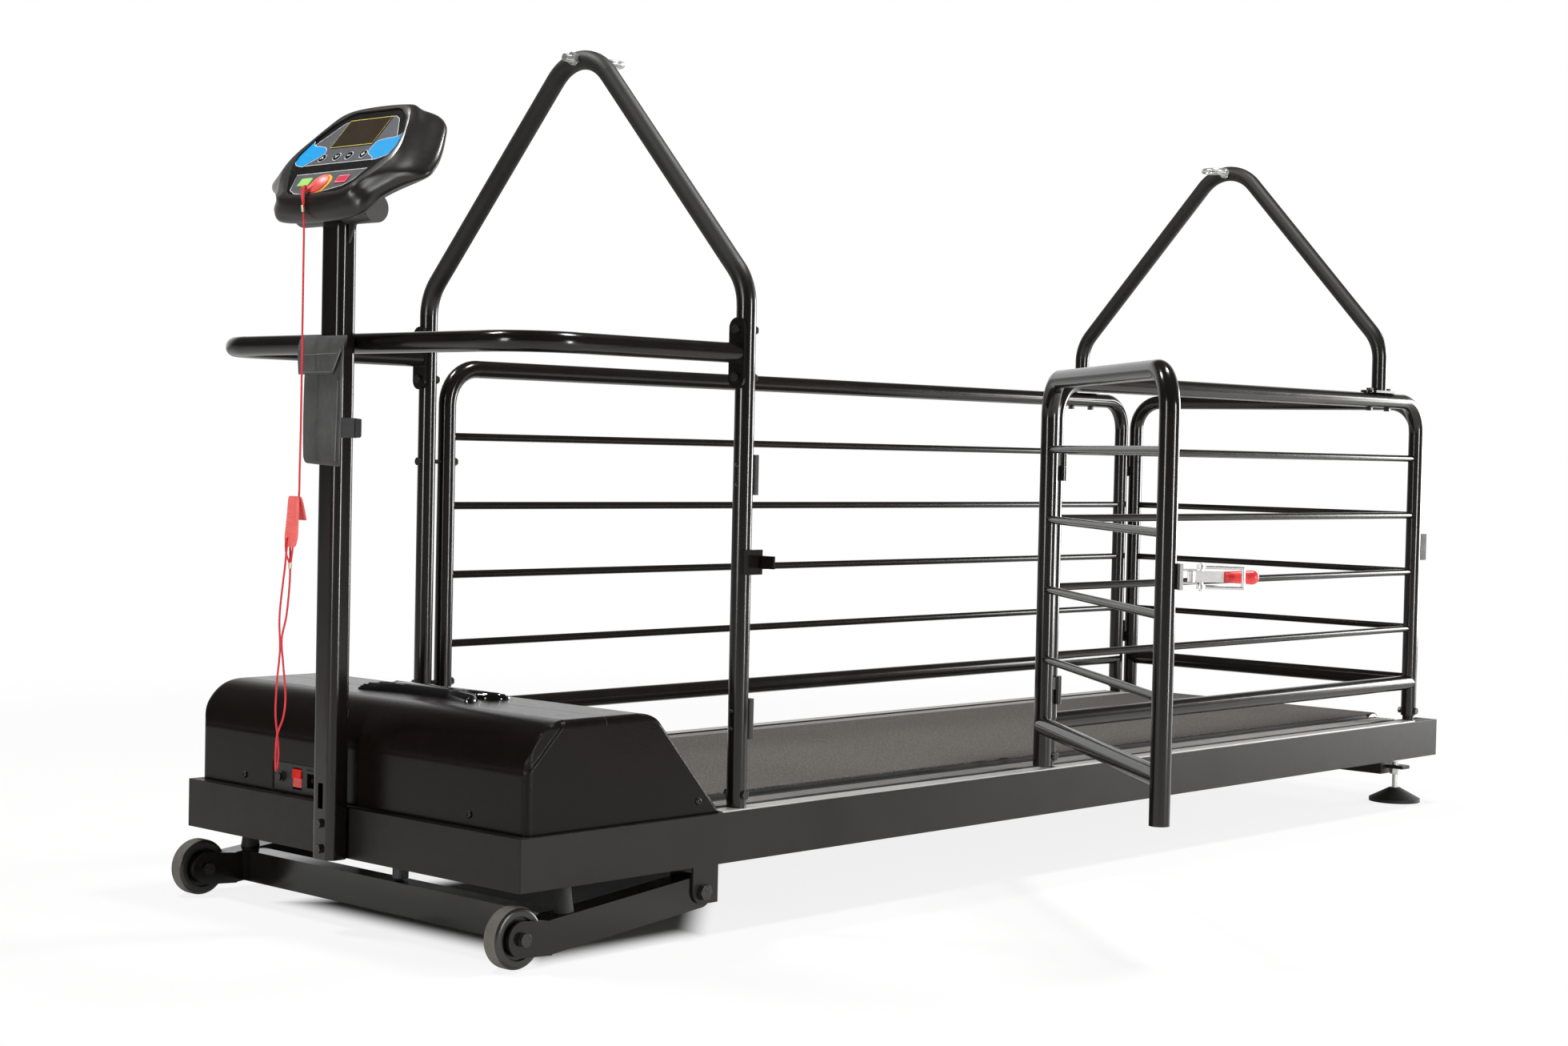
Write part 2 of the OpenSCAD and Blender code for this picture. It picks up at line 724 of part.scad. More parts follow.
// half outlines of the shell from its back to its front rim, each smoothed and mirrored
shell_steps = 3;
back_half = [[2, 0], [0, 50], [-18, 96], [-52, 96], [-78, 80], [-94, 54], [-104, 40], [-108, 0]];
belly_half = [[24, 0], [23, 60], [4, 110], [-45, 140], [-90, 147], [-118, 92], [-150, 74], [-156, 0]];
edge_half = [[25, 0], [23, 52], [1, 97], [-46, 132], [-91, 145], [-124, 95], [-146, 75], [-156, 0]];
front_half = [[23, 0], [21, 46], [-3, 84], [-58, 112], [-99, 114], [-126, 86], [-146, 67], [-150, 0]];
rim_half = [[17, 0], [15, 42], [-11, 80], [-58, 105], [-96, 99], [-124, 79], [-138, 65], [-141, 0]];
back_z = -46;
belly_z = -22;
edge_z = -10;
panel_out = [[11, 46], [-8, 72], [-32, 88], [-66, 99], [-96, 82], [-133, 54]];
panel_rs = [10, 14, 16, 16, 20, 10];
panel_t = 2.5;
well_z = -9;
well_share = 0.9;

function both(p) = concat(p, [for (i = [len(p) - 1 : -1 : 0]) [p[i][0], -p[i][1]]]);
function around(p) = concat(p, [for (i = [len(p) - 2 : -1 : 1]) [p[i][0], -p[i][1]]]);
function smooth(p) = let (n = len(p)) [for (i = [0 : n - 1], k = [0 : shell_steps - 1])
    blend(p[(i + n - 1) % n], p[i], p[(i + 1) % n], p[(i + 2) % n], k / shell_steps)];
function ring(p, z) = [for (q = smooth(around(p))) [q[0], q[1], z]];
function both_r(r) = concat(r, [for (i = [len(r) - 1 : -1 : 0]) r[i]]);

module on_face(up, across) {
    translate([console_x, console_y, console_z]) rotate([0, -console_tilt, 0]) translate([up, across, 0]) children();
}

module console_shell() {
    color(black) difference() {
        on_face(0, 0) difference() {
            skin([ring(back_half, back_z), ring(belly_half, belly_z), ring(edge_half, edge_z), ring(front_half, 0),
                ring(rim_half, face_rim)]);
            linear_extrude(face_rim + over) rounded(both(panel_out), both_r(panel_rs));
            translate([0, 0, well_z]) linear_extrude(over - well_z) scale(well_share) translate([-over, 0])
                rounded(both(panel_out), both_r(panel_rs));
        }
        translate([mast_x, mast_y, bar_z]) rotate([90, 0, 0]) cylinder(d = console_bar_d + 2 * touch, h = frame_w, center = true);
        translate([mast_x, mast_y, 0]) linear_extrude(bar_z) round_rect(mast_dx + over, mast_dy + over, mast_r);
        slab([mast_x - steel_t, mast_y - mast_dy / 2 - gusset - over, 0],
            [mast_x + steel_t, mast_y + mast_dy / 2 + gusset + over, bar_z]);
    }
}

key_up = -116;
key_y = 4.5;
seat_y = 0.5;
key_d = 30;
seat_d = 31;
seat_h = 1;
round_up = -68;
round_ys = [42, 13, -11, -39];
round_d = 11;
pad_up = -110;
start_y = 38.5;
stop_y = -35.5;
pad_w = 22;
pad_h = 13;
press_out = 1.2;
press_deep = 6;

module console_panel() {
    color(grey) on_face(0, 0) {
        difference() {
            linear_extrude(panel_t) offset(delta = -slip) rounded(both(panel_out), both_r(panel_rs));
            for (y = round_ys) translate([round_up, y, -over]) cylinder(d = round_d + 2 * slip, h = 3 * panel_t);
            for (y = [start_y, stop_y]) translate([pad_up, y, -over]) linear_extrude(3 * panel_t)
                square([pad_h + 2 * slip, pad_w + 2 * slip], center = true);
        }
        translate([key_up, seat_y, panel_t]) cylinder(d = seat_d, h = seat_h);
    }
}

lens_t = 1.2;
lens_r = 1.5;
display_top = 3;

module display_lens() {
    color(black) on_face(-display_top - display_h / 2, 0) translate([0, 0, panel_t]) linear_extrude(lens_t)
        round_rect(display_h, display_w, lens_r);
}

module round_button(k) {
    color(grey) on_face(round_up, round_ys[k]) translate([0, 0, panel_t - press_deep]) cylinder(d = round_d, h = press_deep + press_out);
}

module incline_up_button() {
    round_button(0);
}

module incline_down_button() {
    round_button(1);
}

module speed_down_button() {
    round_button(2);
}

module speed_up_button() {
    round_button(3);
}

module pad_button(y) {
    on_face(pad_up, y) translate([0, 0, panel_t - press_deep]) linear_extrude(press_deep + press_out) round_rect(pad_h, pad_w, over);
}

module start_button() {
    color([0.5, 0.8, 0.4]) pad_button(start_y);
}

module stop_button() {
    color([0.8, 0.1, 0.2]) pad_button(stop_y);
}

key_h = 5;
key_lug_w = 8;
key_lug_t = 3;
key_lug_up = 1.5;
key_hole_d = 3.2;
key_lug_l = 20;
key_lug_dir = [-14, 11];

module safety_key() {
    color(red) on_face(key_up, key_y) translate([0, 0, panel_t + seat_h + body_gap]) {
        intersection() {
            cylinder(d = key_d, h = key_h);
            translate([0, 0, key_h - key_d]) sphere(r = key_d, $fn = 64);
        }
        rotate([0, 0, atan2(key_lug_dir[1], key_lug_dir[0])]) translate([0, 0, key_lug_up]) difference() {
            slab([0, -key_lug_w / 2, 0], [key_lug_l, key_lug_w / 2, key_lug_t]);
            translate([key_lug_l - key_hole_d, 0, -over]) cylinder(d = key_hole_d, h = key_lug_t + 2 * over);
        }
    }
}

// Safety cord

cord_d = 2.5;
cord_sides = 8;
cord_steps = 3;
cord_x = -68;
cord_route = [[-57.5, 13.9, 895], [-60.5, 14, 898.5], [-65, 12.5, 898], [-69, 8.5, 889], [-70, 4, 877], [-69, 3.5, 862],
    [cord_x, 4, 840], [cord_x, 4, 760], [cord_x, 4, 690], [cord_x, 4, 620], [cord_x, 5, 560], [cord_x, 6, 527],
    [cord_x, 16, 500], [cord_x, 27, 472], [cord_x, 32, 440], [cord_x, 39, 400], [cord_x, 41, 375], [cord_x, 39, 342],
    [cord_x, 44, 304], [cord_x, 46, 265], [cord_x, 41, 237], [-69, 37, 218], [-72, 34, 203], [-79, 27, 198],
    [-84, 22, 206], [-84, 20, 240], [-81, 12, 264], [-79, 11, 289], [-77, 19, 324], [-75, 26, 356], [-73, 20, 385],
    [-70, 19, 421], [cord_x, 21, 446], [cord_x, 22, 474]];

function cord_at(i) = cord_route[max(0, min(len(cord_route) - 1, i))];
function blend(a, b, c, d, t) = (2 * b + (c - a) * t + (2 * a - 5 * b + 4 * c - d) * t * t
    + (3 * b - a - 3 * c + d) * t * t * t) / 2;
cord_line = [for (i = [0 : len(cord_route) - 2], k = [0 : i == len(cord_route) - 2 ? cord_steps : cord_steps - 1])
    blend(cord_at(i - 1), cord_at(i), cord_at(i + 1), cord_at(i + 2), k / cord_steps)];

function ring_at(p, i) = let (n = len(p), t = unit(p[min(i + 1, n - 1)] - p[max(i - 1, 0)]),
    a = unit(cross(t, [0.73, -0.68, 0.05])), b = cross(t, a))
    [for (k = [0 : cord_sides - 1]) p[i] + (a * cos(360 * k / cord_sides) + b * sin(360 * k / cord_sides)) * cord_d / 2];

// A closed skin over rings of points, from the first ring to the last.
module skin(rings) {
    n = len(rings);
    m = len(rings[0]);
    polyhedron([for (r = rings) each r],
        concat([[for (k = [0 : m - 1]) k]], [[for (k = [m - 1 : -1 : 0]) (n - 1) * m + k]],
            [for (i = [0 : n - 2], k = [0 : m - 1]) each [[i * m + k, (i + 1) * m + k, (i + 1) * m + (k + 1) % m],
                [i * m + k, (i + 1) * m + (k + 1) % m, i * m + (k + 1) % m]]]));
}

module safety_cord() {
    color(red) skin([for (i = [0 : len(cord_line) - 1]) ring_at(cord_line, i)]);
}

clip_y = 12;
clip_w = 27;
clip_low = 468;
clip_top = 529;
clip_t = 11;
clip_rib = 2;
clip_ribs = 6;

module cord_clip() {
    color(red) translate([cord_x, clip_y, 0]) {
        translate([0, 0, clip_low]) linear_extrude(clip_top - clip_low) round_rect(clip_t, clip_w, over);
        for (k = [0 : clip_ribs - 1]) translate([0, 0, clip_low + (clip_top - clip_low) * (k + 1) / (clip_ribs + 2)])
            linear_extrude(clip_rib) round_rect(clip_t + clip_rib, clip_w, over);
    }
}

// Remote pouch

pouch_y = 3.5;
pouch_w = 70;
pouch_back = -mast_dx - touch;
pouch_d = 12;
pouch_low = 566;
pouch_top = 722;
pouch_r = 4;
flap_low = 675;
flap_t = 3;
strap_low = 600;
strap_h = 24;
strap_t = 2;

module remote_pouch() {
    color([0.25, 0.25, 0.25]) {
        translate([pouch_back - pouch_d / 2, pouch_y, pouch_low]) linear_extrude(pouch_top - pouch_low) round_rect(pouch_d, pouch_w, pouch_r);
        translate([pouch_back - pouch_d / 2 - flap_t / 2, pouch_y, flap_low]) linear_extrude(pouch_top - flap_low)
            round_rect(pouch_d + flap_t, pouch_w + flap_t, pouch_r);
        difference() {
            translate([mast_x, mast_y, strap_low]) linear_extrude(strap_h)
                round_rect(mast_dx + 2 * strap_t + 2 * touch, mast_dy + 2 * strap_t + 2 * touch, mast_r + strap_t);
            translate([mast_x, mast_y, strap_low - over]) linear_extrude(strap_h + 2 * over)
                round_rect(mast_dx + 2 * touch, mast_dy + 2 * touch, mast_r);
        }
    }
}

// Handrail and arches

saddle_w = 26;
saddle_h = 88;
saddle_t = 4;
saddle_bolt = 29.5;
handrail_x = tube_r + touch;
saddle_x = arch_x - tube_r - touch - saddle_t;

module handrail() {
    color(black) {
        translate([0, 0, handrail_z]) bent_tube([[saddle_x, -post_y], [handrail_x, -post_y], [handrail_x, post_y], [saddle_x, post_y]],
            tube_d, handrail_r);
        for (s = [-1, 1]) translate([saddle_x, s * post_y, handrail_z]) rotate([90, 0, 90]) linear_extrude(saddle_t) difference() {
            round_rect(saddle_w, saddle_h, saddle_w / 2 - touch);
            for (k = [-1, 1]) translate([0, k * saddle_bolt]) circle(d = bolt_hole_d);
        }
    }
}

eye_z = peak_z - arch_r * (1 / cos(atan2(peak_z - eave_z, post_y)) - 1);
eye_d = 10;

module arch(low) {
    rotate([90, 0, 90]) bent_tube([[-post_y, low], [-post_y, eave_z], [0, peak_z], [post_y, eave_z], [post_y, low]], tube_d, arch_r);
}

panel_bolt_zs = [257, 570];

module front_arch() {
    color(black) translate([arch_x, 0, 0]) difference() {
        arch(rail_top + touch);
        for (s = [-1, 1]) translate([0, s * post_y, 0]) {
            translate([0, 0, rail_top - over]) cylinder(d = stub_d + 2 * slip, h = stub_h + 2 * over);
            translate([0, 0, base_bolt_z]) rotate([90, 0, 0]) bolt_hole(2 * tube_d);
            for (k = [-1, 1]) translate([0, 0, handrail_z + k * saddle_bolt]) rotate([0, 90, 0]) bolt_hole(2 * tube_d);
        }
        for (z = panel_bolt_zs) translate([0, post_y, z]) rotate([0, 90, 0]) bolt_hole(2 * tube_d);
        translate([0, 0, eye_z]) rotate([0, 90, 0]) cylinder(d = eye_d + 2 * slip, h = 2 * tube_d, center = true);
    }
}

foot_plate_l = 92;
foot_plate_w = 28;
foot_plate_t = 4;
foot_bolt_x = 30;
foot_plate_z = top_rail_z + tube_r + touch;

module rear_arch() {
    color(black) translate([rear_arch_x, 0, 0]) difference() {
        union() {
            arch(foot_plate_z);
            for (s = [-1, 1]) translate([0, s * post_y, foot_plate_z]) linear_extrude(foot_plate_t)
                round_rect(foot_plate_l, foot_plate_w, foot_plate_w / 2 - touch);
        }
        for (s = [-1, 1], k = [-1, 1]) translate([k * foot_bolt_x, s * post_y, foot_plate_z]) bolt_hole(2 * tube_d);
        translate([0, 0, eye_z]) rotate([0, 90, 0]) cylinder(d = eye_d + 2 * slip, h = 2 * tube_d, center = true);
    }
}

ring_r = 19;
ring_wire = 8;
ring_x = 46;
eye_end = 32;
eye_nut_d = 17;
eye_nut_h = 8;
eye_collar_d = 18;

module leash_eye() {
    translate([ring_x, 0, 0]) rotate_extrude() translate([ring_r, 0]) circle(d = ring_wire);
    translate([-eye_end, 0, 0]) rotate([0, 90, 0]) cylinder(d = eye_d, h = eye_end + ring_x - ring_r);
    translate([tube_r + touch, 0, 0]) rotate([0, 90, 0]) cylinder(d = eye_collar_d, h = steel_t);
    translate([-tube_r - touch - eye_nut_h, 0, 0]) rotate([0, 90, 0]) cylinder(d = eye_nut_d, h = eye_nut_h, $fn = 6);
}

module leash_eyes() {
    color(satin) {
        translate([arch_x, 0, eye_z]) leash_eye();
        translate([rear_arch_x, 0, eye_z]) rotate([0, 0, 180]) leash_eye();
    }
}

// Panels and gates

post_low = rail_top + post_lift;

module grille(w) {
    bent_tube([[0, post_low], [0, top_rail_z], [w, top_rail_z], [w, post_low]], tube_d, corner_r);
    translate([0, low_rail_z, 0]) rotate([0, 90, 0]) cylinder(d = tube_d, h = w);
    for (k = [0 : 3]) translate([0, low_bar_z + k * bar_pitch, 0]) rotate([0, 90, 0]) cylinder(d = bar_d, h = w);
}

module stub_sockets(xs, s) {
    for (x = xs) translate([x, s * post_y, 0]) {
        translate([0, 0, rail_top - over]) cylinder(d = stub_d + 2 * slip, h = stub_h + 2 * over);
        translate([0, 0, base_bolt_z]) rotate([90, 0, 0]) bolt_hole(2 * tube_d);
    }
}

module foot_bolt_holes(s) {
    for (k = [-1, 1]) translate([rear_arch_x + k * foot_bolt_x, s * post_y, top_rail_z]) bolt_hole(2 * tube_d);
}

module far_panel() {
    color(black) difference() {
        translate([far_post_x, post_y, 0]) rotate([90, 0, 0]) grille(rear_post_x - far_post_x);
        stub_sockets([far_post_x, rear_post_x], 1);
        foot_bolt_holes(1);
        for (z = panel_bolt_zs) translate([far_post_x, post_y, z]) rotate([0, 90, 0]) bolt_hole(2 * tube_d);
    }
}

module near_panel() {
    color(black) difference() {
        translate([near_post_x, -post_y, 0]) rotate([90, 0, 0]) grille(rear_post_x - near_post_x);
        stub_sockets([near_post_x, rear_post_x], -1);
        foot_bolt_holes(-1);
    }
}

gate_axis_gap = 15;
gate_axis_out = 6;
gate_axis = [near_post_x - gate_axis_gap, -half_w - gate_axis_out];
rear_axis_gap = 4;
rear_axis_in = 11;
rear_axis = [rear_gate_x + rear_axis_gap, half_w - rear_axis_in];
rear_hinge_in = 31;
rear_hinge_y = half_w - rear_hinge_in;
rear_free_in = 37;
rear_free_y = -half_w + rear_free_in;
knuckle_d = 13;
knuckle_h = 20;
pin_d = 6;
strap_w = 5;
strap_start = 4;
strap_inset = 1;

module on_gate(open) {
    translate([gate_axis[0], gate_axis[1], 0]) rotate([0, 0, open]) translate([-gate_axis[0], -gate_axis[1], 0]) children();
}

// A knuckle with its strap from the hinge axis to a post.
module knuckle(axis, post, z, h) {
    w = post - axis;
    translate([axis[0], axis[1], z]) {
        cylinder(d = knuckle_d, h = h);
        rotate([0, 0, atan2(w[1], w[0])]) translate([strap_start, -strap_w / 2, strap_inset])
            cube([norm(w) - strap_start, strap_w, h - 2 * strap_inset]);
    }
}

module gate_knuckles(axis, post) {
    difference() {
        for (z = [low_hinge_z, high_hinge_z]) knuckle(axis, post, z + body_gap, knuckle_h - body_gap);
        translate([axis[0], axis[1], 0]) cylinder(d = pin_d + 2 * run_fit, h = top_rail_z);
    }
}

module side_gate() {
    color(black) on_gate(gate_open) {
        translate([gate_free_x, -post_y, 0]) rotate([90, 0, 0]) grille(gate_hinge_x - gate_free_x);
        gate_knuckles(gate_axis, [gate_hinge_x, -post_y]);
    }
}

module rear_gate() {
    color(black) {
        translate([rear_gate_x, rear_free_y, 0]) rotate([90, 0, 90]) grille(rear_hinge_y - rear_free_y);
        gate_knuckles(rear_axis, [rear_gate_x, rear_hinge_y]);
    }
}

module hinge_half(axis, post) {
    difference() {
        for (z = [low_hinge_z, high_hinge_z]) knuckle(axis, post, z - knuckle_h, knuckle_h);
        translate([post[0], post[1], 0]) cylinder(r = tube_r + touch, h = top_rail_z);
    }
    for (z = [low_hinge_z, high_hinge_z]) translate([axis[0], axis[1], z - touch]) cylinder(d = pin_d, h = knuckle_h);
}

module gate_hinges() {
    color(black) {
        hinge_half(gate_axis, [near_post_x, -post_y]);
        hinge_half(rear_axis, [rear_post_x, post_y]);
    }
}

// Latch, drawn on the closed gate: X towards the hinge, -Y outwards

plate_w = 32;
latch_plate_h = 31;
latch_plate_t = 4;
cheek_z = 7;
cheek_t = 2;
cheek_w = 14;
cheek_out = 37;
latch_pin_d = 5;
latch_pin_out = 32;
bar_pin_out = 44;
lever_h = 13;
lever_t = 8;
grip_out = 72;
grip_end = 115;
grip_d = 17;
grip_neck_d = 13;
u_len = 49;
u_z = 12;
u_wire = 5;
u_eye_d = 11;
u_lean = 20;

module on_latch() {
    on_gate(gate_open) translate([gate_free_x, -post_y, latch_z]) children();
}

module latch_base() {
    color(silver) on_latch() {
        slab([-plate_w / 2, -tube_r - touch - latch_plate_t, -latch_plate_h / 2], [plate_w / 2, -tube_r - touch, latch_plate_h / 2]);
        for (s = [-1, 1]) slab([-cheek_w / 2, -cheek_out, s > 0 ? cheek_z : -cheek_z - cheek_t],
            [cheek_w / 2, -tube_r - latch_plate_t, s > 0 ? cheek_z + cheek_t : -cheek_z]);
        translate([0, -latch_pin_out, 0]) cylinder(d = latch_pin_d, h = 2 * (cheek_z + cheek_t), center = true);
    }
}

module latch_handle() {
    color(red) on_latch() {
        difference() {
            union() {
                translate([0, -latch_pin_out, 0]) cylinder(d = lever_t + over, h = lever_h, center = true);
                slab([-lever_t / 2, -grip_end + grip_d / 2, -lever_h / 2], [lever_t / 2, -latch_pin_out, lever_h / 2]);
            }
            translate([0, -latch_pin_out, 0]) cylinder(d = latch_pin_d + 2 * run_fit, h = 2 * lever_h, center = true);
        }
        translate([0, -grip_out, 0]) rotate([90, 0, 0])
            cylinder(d1 = grip_neck_d, d2 = grip_d, h = grip_end - grip_out - grip_d / 2);
        translate([0, -grip_end + grip_d / 2, 0]) sphere(d = grip_d);
        translate([0, -bar_pin_out, 0]) cylinder(d = latch_pin_d, h = 2 * (u_z + u_wire), center = true);
    }
}

module latch_u_bar() {
    color(silver) on_latch() translate([0, -bar_pin_out, 0]) rotate([0, 0, -u_lean]) difference() {
        union() {
            for (s = [-1, 1]) {
                translate([0, 0, s * u_z]) cylinder(d = u_eye_d, h = u_wire, center = true);
                translate([0, 0, s * u_z]) rotate([90, 0, 0]) cylinder(d = u_wire, h = u_len);
                translate([0, -u_len, s * u_z]) sphere(d = u_wire);
            }
            translate([0, -u_len, 0]) cylinder(d = u_wire, h = 2 * u_z, center = true);
        }
        cylinder(d = latch_pin_d + 2 * run_fit, h = 4 * u_z, center = true);
    }
}

lip_x = 18;
lip_t = 3;
lip_out = 38;
lip_h = 16;
catch_w = 24;

module latch_catch() {
    color(silver) translate([arch_x, -post_y, latch_z]) {
        slab([-catch_w / 2, -tube_r - touch - latch_plate_t, -latch_plate_h / 2], [lip_x + lip_t, -tube_r - touch, latch_plate_h / 2]);
        slab([lip_x, -lip_out, -lip_h / 2], [lip_x + lip_t, -tube_r - latch_plate_t, lip_h / 2]);
    }
}

stop_w = 14;
stop_t = 10;
stop_h = 50;
stop_r = 3;
stop_zs = [236, 540];
pad_low = 430;
pad_high = 475;
pad_reach = 20;
pad_outer = 8;
pad_inner = 3;

module stop_blocks() {
    color(black) {
        for (z = stop_zs) translate([arch_x + tube_r + touch + stop_t / 2, -post_y, z]) linear_extrude(stop_h)
            round_rect(stop_t, stop_w, stop_r);
        slab([rear_post_x + tube_r + touch, -post_y - pad_outer, pad_low],
            [rear_post_x + tube_r + touch + pad_reach, -post_y + pad_inner, pad_high]);
    }
}

module frame_bolts() {
    color(black) {
        for (s = [-1, 1], x = s > 0 ? stub_far_xs : stub_near_xs) translate([x, s * (post_y + tube_r + touch), base_bolt_z])
            rotate([s * 90, 0, 0]) bolt(tube_d + 2 * touch);
        for (s = [-1, 1], k = [-1, 1]) translate([saddle_x - touch, s * post_y, handrail_z + k * saddle_bolt])
            rotate([0, 90, 0]) bolt(saddle_t + tube_d + 3 * touch);
        for (z = panel_bolt_zs) translate([arch_x - tube_r - touch, post_y, z]) rotate([0, 90, 0])
            bolt(far_post_x - arch_x + tube_d + 2 * touch);
        for (s = [-1, 1], k = [-1, 1]) translate([rear_arch_x + k * foot_bolt_x, s * post_y, foot_plate_z + foot_plate_t + touch])
            rotate([180, 0, 0]) bolt(foot_plate_t + tube_d + 3 * touch);
        for (z = mast_bolt_zs) translate([-mast_dx - touch, mast_y, z]) rotate([0, 90, 0]) bolt(mast_dx + steel_t + 2 * touch);
        for (s = [-1, 1]) translate([pivot_x, s * (half_w + touch), pivot_z]) rotate([s * 90, 0, 0]) {
            translate([0, 0, -pivot_head_h]) cylinder(d = pivot_head_d, h = pivot_head_h, $fn = 6);
            cylinder(d = pivot_d, h = rail_w + pivot_head_h + 2 * touch);
            translate([0, 0, rail_w + 2 * touch]) cylinder(d = pivot_head_d, h = pivot_head_h, $fn = 6);
        }
    }
}

// Incline frame

module incline_side() {
    difference() {
        union() {
            translate([pivot_x, arm_out - touch, pivot_z]) rotate([90, 0, 0])
                cylinder(d = arm_h + 2 * bend_swell, h = arm_w - 2 * touch);
            translate([pivot_x, arm_out - arm_w, pivot_z]) rotate([0, -arm_slope, 0])
                translate([-(pivot_x - arm_front) / cos(arm_slope), 0, -arm_h / 2])
                    cube([(pivot_x - arm_front) / cos(arm_slope), arm_w, arm_h]);
            for (y = [arm_out + fork_t, arm_out - arm_w + touch]) translate([0, y, 0]) rotate([90, 0, 0]) linear_extrude(fork_t + touch) {
                translate([wheel_x, wheel_z]) circle(r = fork_r);
                polygon([[wheel_x, wheel_z - fork_r], [fork_rear, arm_mid(fork_rear) - arm_h / 2],
                    [fork_rear, arm_mid(fork_rear) + arm_h / 2], [wheel_x, wheel_z + fork_r]]);
            }
        }
        translate([pivot_x, 0, pivot_z]) rotate([90, 0, 0]) cylinder(d = pivot_d + 2 * run_fit, h = 2 * frame_w, center = true);
        translate([wheel_x, 0, wheel_z]) rotate([90, 0, 0]) cylinder(d = wheel_bore + 2 * slip, h = 2 * frame_w, center = true);
        translate([wheel_x, arm_out, wheel_z]) rotate([90, 0, 0]) cylinder(d = wheel_d + 2 * over, h = arm_w);
    }
}

module incline_frame() {
    color(satin) {
        incline_side();
        mirror([0, 1, 0]) incline_side();
        slab([cross_x, -arm_out + arm_w - touch, cross_top - arm_h], [cross_x + cross_w, arm_out - arm_w + touch, cross_top]);
    }
}

module wheel(s) {
    translate([wheel_x, s * wheel_y, wheel_z]) rotate([90, 0, 0]) difference() {
        rotate_extrude() difference() {
            translate([0, -wheel_w / 2]) square([wheel_z, wheel_w]);
            for (k = [-1, 1]) translate([(wheel_z - tyre_t + hub_d / 2) / 2, k * wheel_w / 2])
                square([wheel_z - tyre_t - hub_d / 2, wheel_w / 4], center = true);
            for (k = [-1, 1]) translate([wheel_z - tyre_r, k * (wheel_w / 2 - tyre_r)]) difference() {
                translate([0, k > 0 ? 0 : -tyre_r - over]) square(tyre_r + over);
                circle(r = tyre_r);
            }
        }
        cylinder(d = wheel_bore + 2 * run_fit, h = 2 * wheel_w, center = true);
    }
}
tyre_t = 11;
tyre_r = 6;

module wheel_near() {
    color([0.3, 0.29, 0.28]) wheel(-1);
}

module wheel_far() {
    color([0.3, 0.29, 0.28]) wheel(1);
}

module wheel_axles() {
    color(satin) for (s = [-1, 1]) translate([wheel_x, s * (arm_out + fork_t + touch), wheel_z]) rotate([s * 90, 0, 0]) {
        translate([0, 0, -pivot_head_h + touch]) cylinder(d = axle_head_d, h = pivot_head_h - touch);
        cylinder(d = wheel_bore, h = arm_w + 2 * fork_t + nut_h);
        translate([0, 0, arm_w + 2 * fork_t + 2 * touch]) cylinder(d = axle_head_d, h = nut_h, $fn = 6);
    }
}
axle_head_d = 16;

module bumpers() {
    color(black) for (s = [-1, 1]) translate([bumper_x, s * (arm_out - arm_w / 2), 0]) difference() {
        translate([0, 0, arm_mid(bumper_x)])
            cylinder(d1 = bumper_d, d2 = bumper_top_d, h = rail_z - body_gap - arm_mid(bumper_x));
        translate([pivot_x - bumper_x, -arm_w, pivot_z]) rotate([0, -arm_slope, 0])
            translate([-pivot_x, 0, -arm_h]) cube([pivot_x, 2 * arm_w, 1.5 * arm_h + touch]);
    }
}

module foot_pad(s) {
    translate([foot_x, s * foot_y, 0]) difference() {
        rotate_extrude() polygon([[0, 0], [foot_d / 2, 0], [foot_d / 2, foot_h / 4], [stud_d, foot_h], [0, foot_h]]);
        translate([0, 0, stud_low - body_gap]) cylinder(d = stud_d + 2 * run_fit, h = foot_h);
    }
}

module foot_pad_near() {
    color(black) foot_pad(-1);
}

module foot_pad_far() {
    color(black) foot_pad(1);
}

module foot_studs() {
    color(silver) for (s = [-1, 1]) translate([foot_x, s * foot_y, 0]) {
        translate([0, 0, stud_low]) cylinder(d = stud_d, h = stud_top - stud_low);
        translate([0, 0, lug_z - stud_d - touch]) cylinder(d = 2 * stud_d - over, h = stud_d, $fn = 6);
    }
}

front_skirt();
side_rail_near();
side_rail_far();
cross_members();
foot_strips();
deck_board();
running_belt();
drive_roller();
tail_roller();
roller_axles();
motor();
motor_pulley();
drive_belt();
controller();
incline_motor();
incline_rod();
hood();
bone_plate();
switch_plate();
rocker_switch();
reset_button();
power_inlet();
mast();
console_bar();
console_shell();
console_panel();
display_lens();
incline_up_button();
incline_down_button();
speed_down_button();
speed_up_button();
start_button();
stop_button();
safety_key();
safety_cord();
cord_clip();
remote_pouch();
handrail();
front_arch();
rear_arch();
leash_eyes();
far_panel();
near_panel();
side_gate();
rear_gate();
gate_hinges();
latch_base();
latch_handle();
latch_u_bar();
latch_catch();
stop_blocks();
frame_bolts();
incline_frame();
wheel_near();
wheel_far();
wheel_axles();
bumpers();
foot_pad_near();
foot_pad_far();
foot_studs();
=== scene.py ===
import math

import bmesh
import bpy
from mathutils import Matrix, Vector, noise


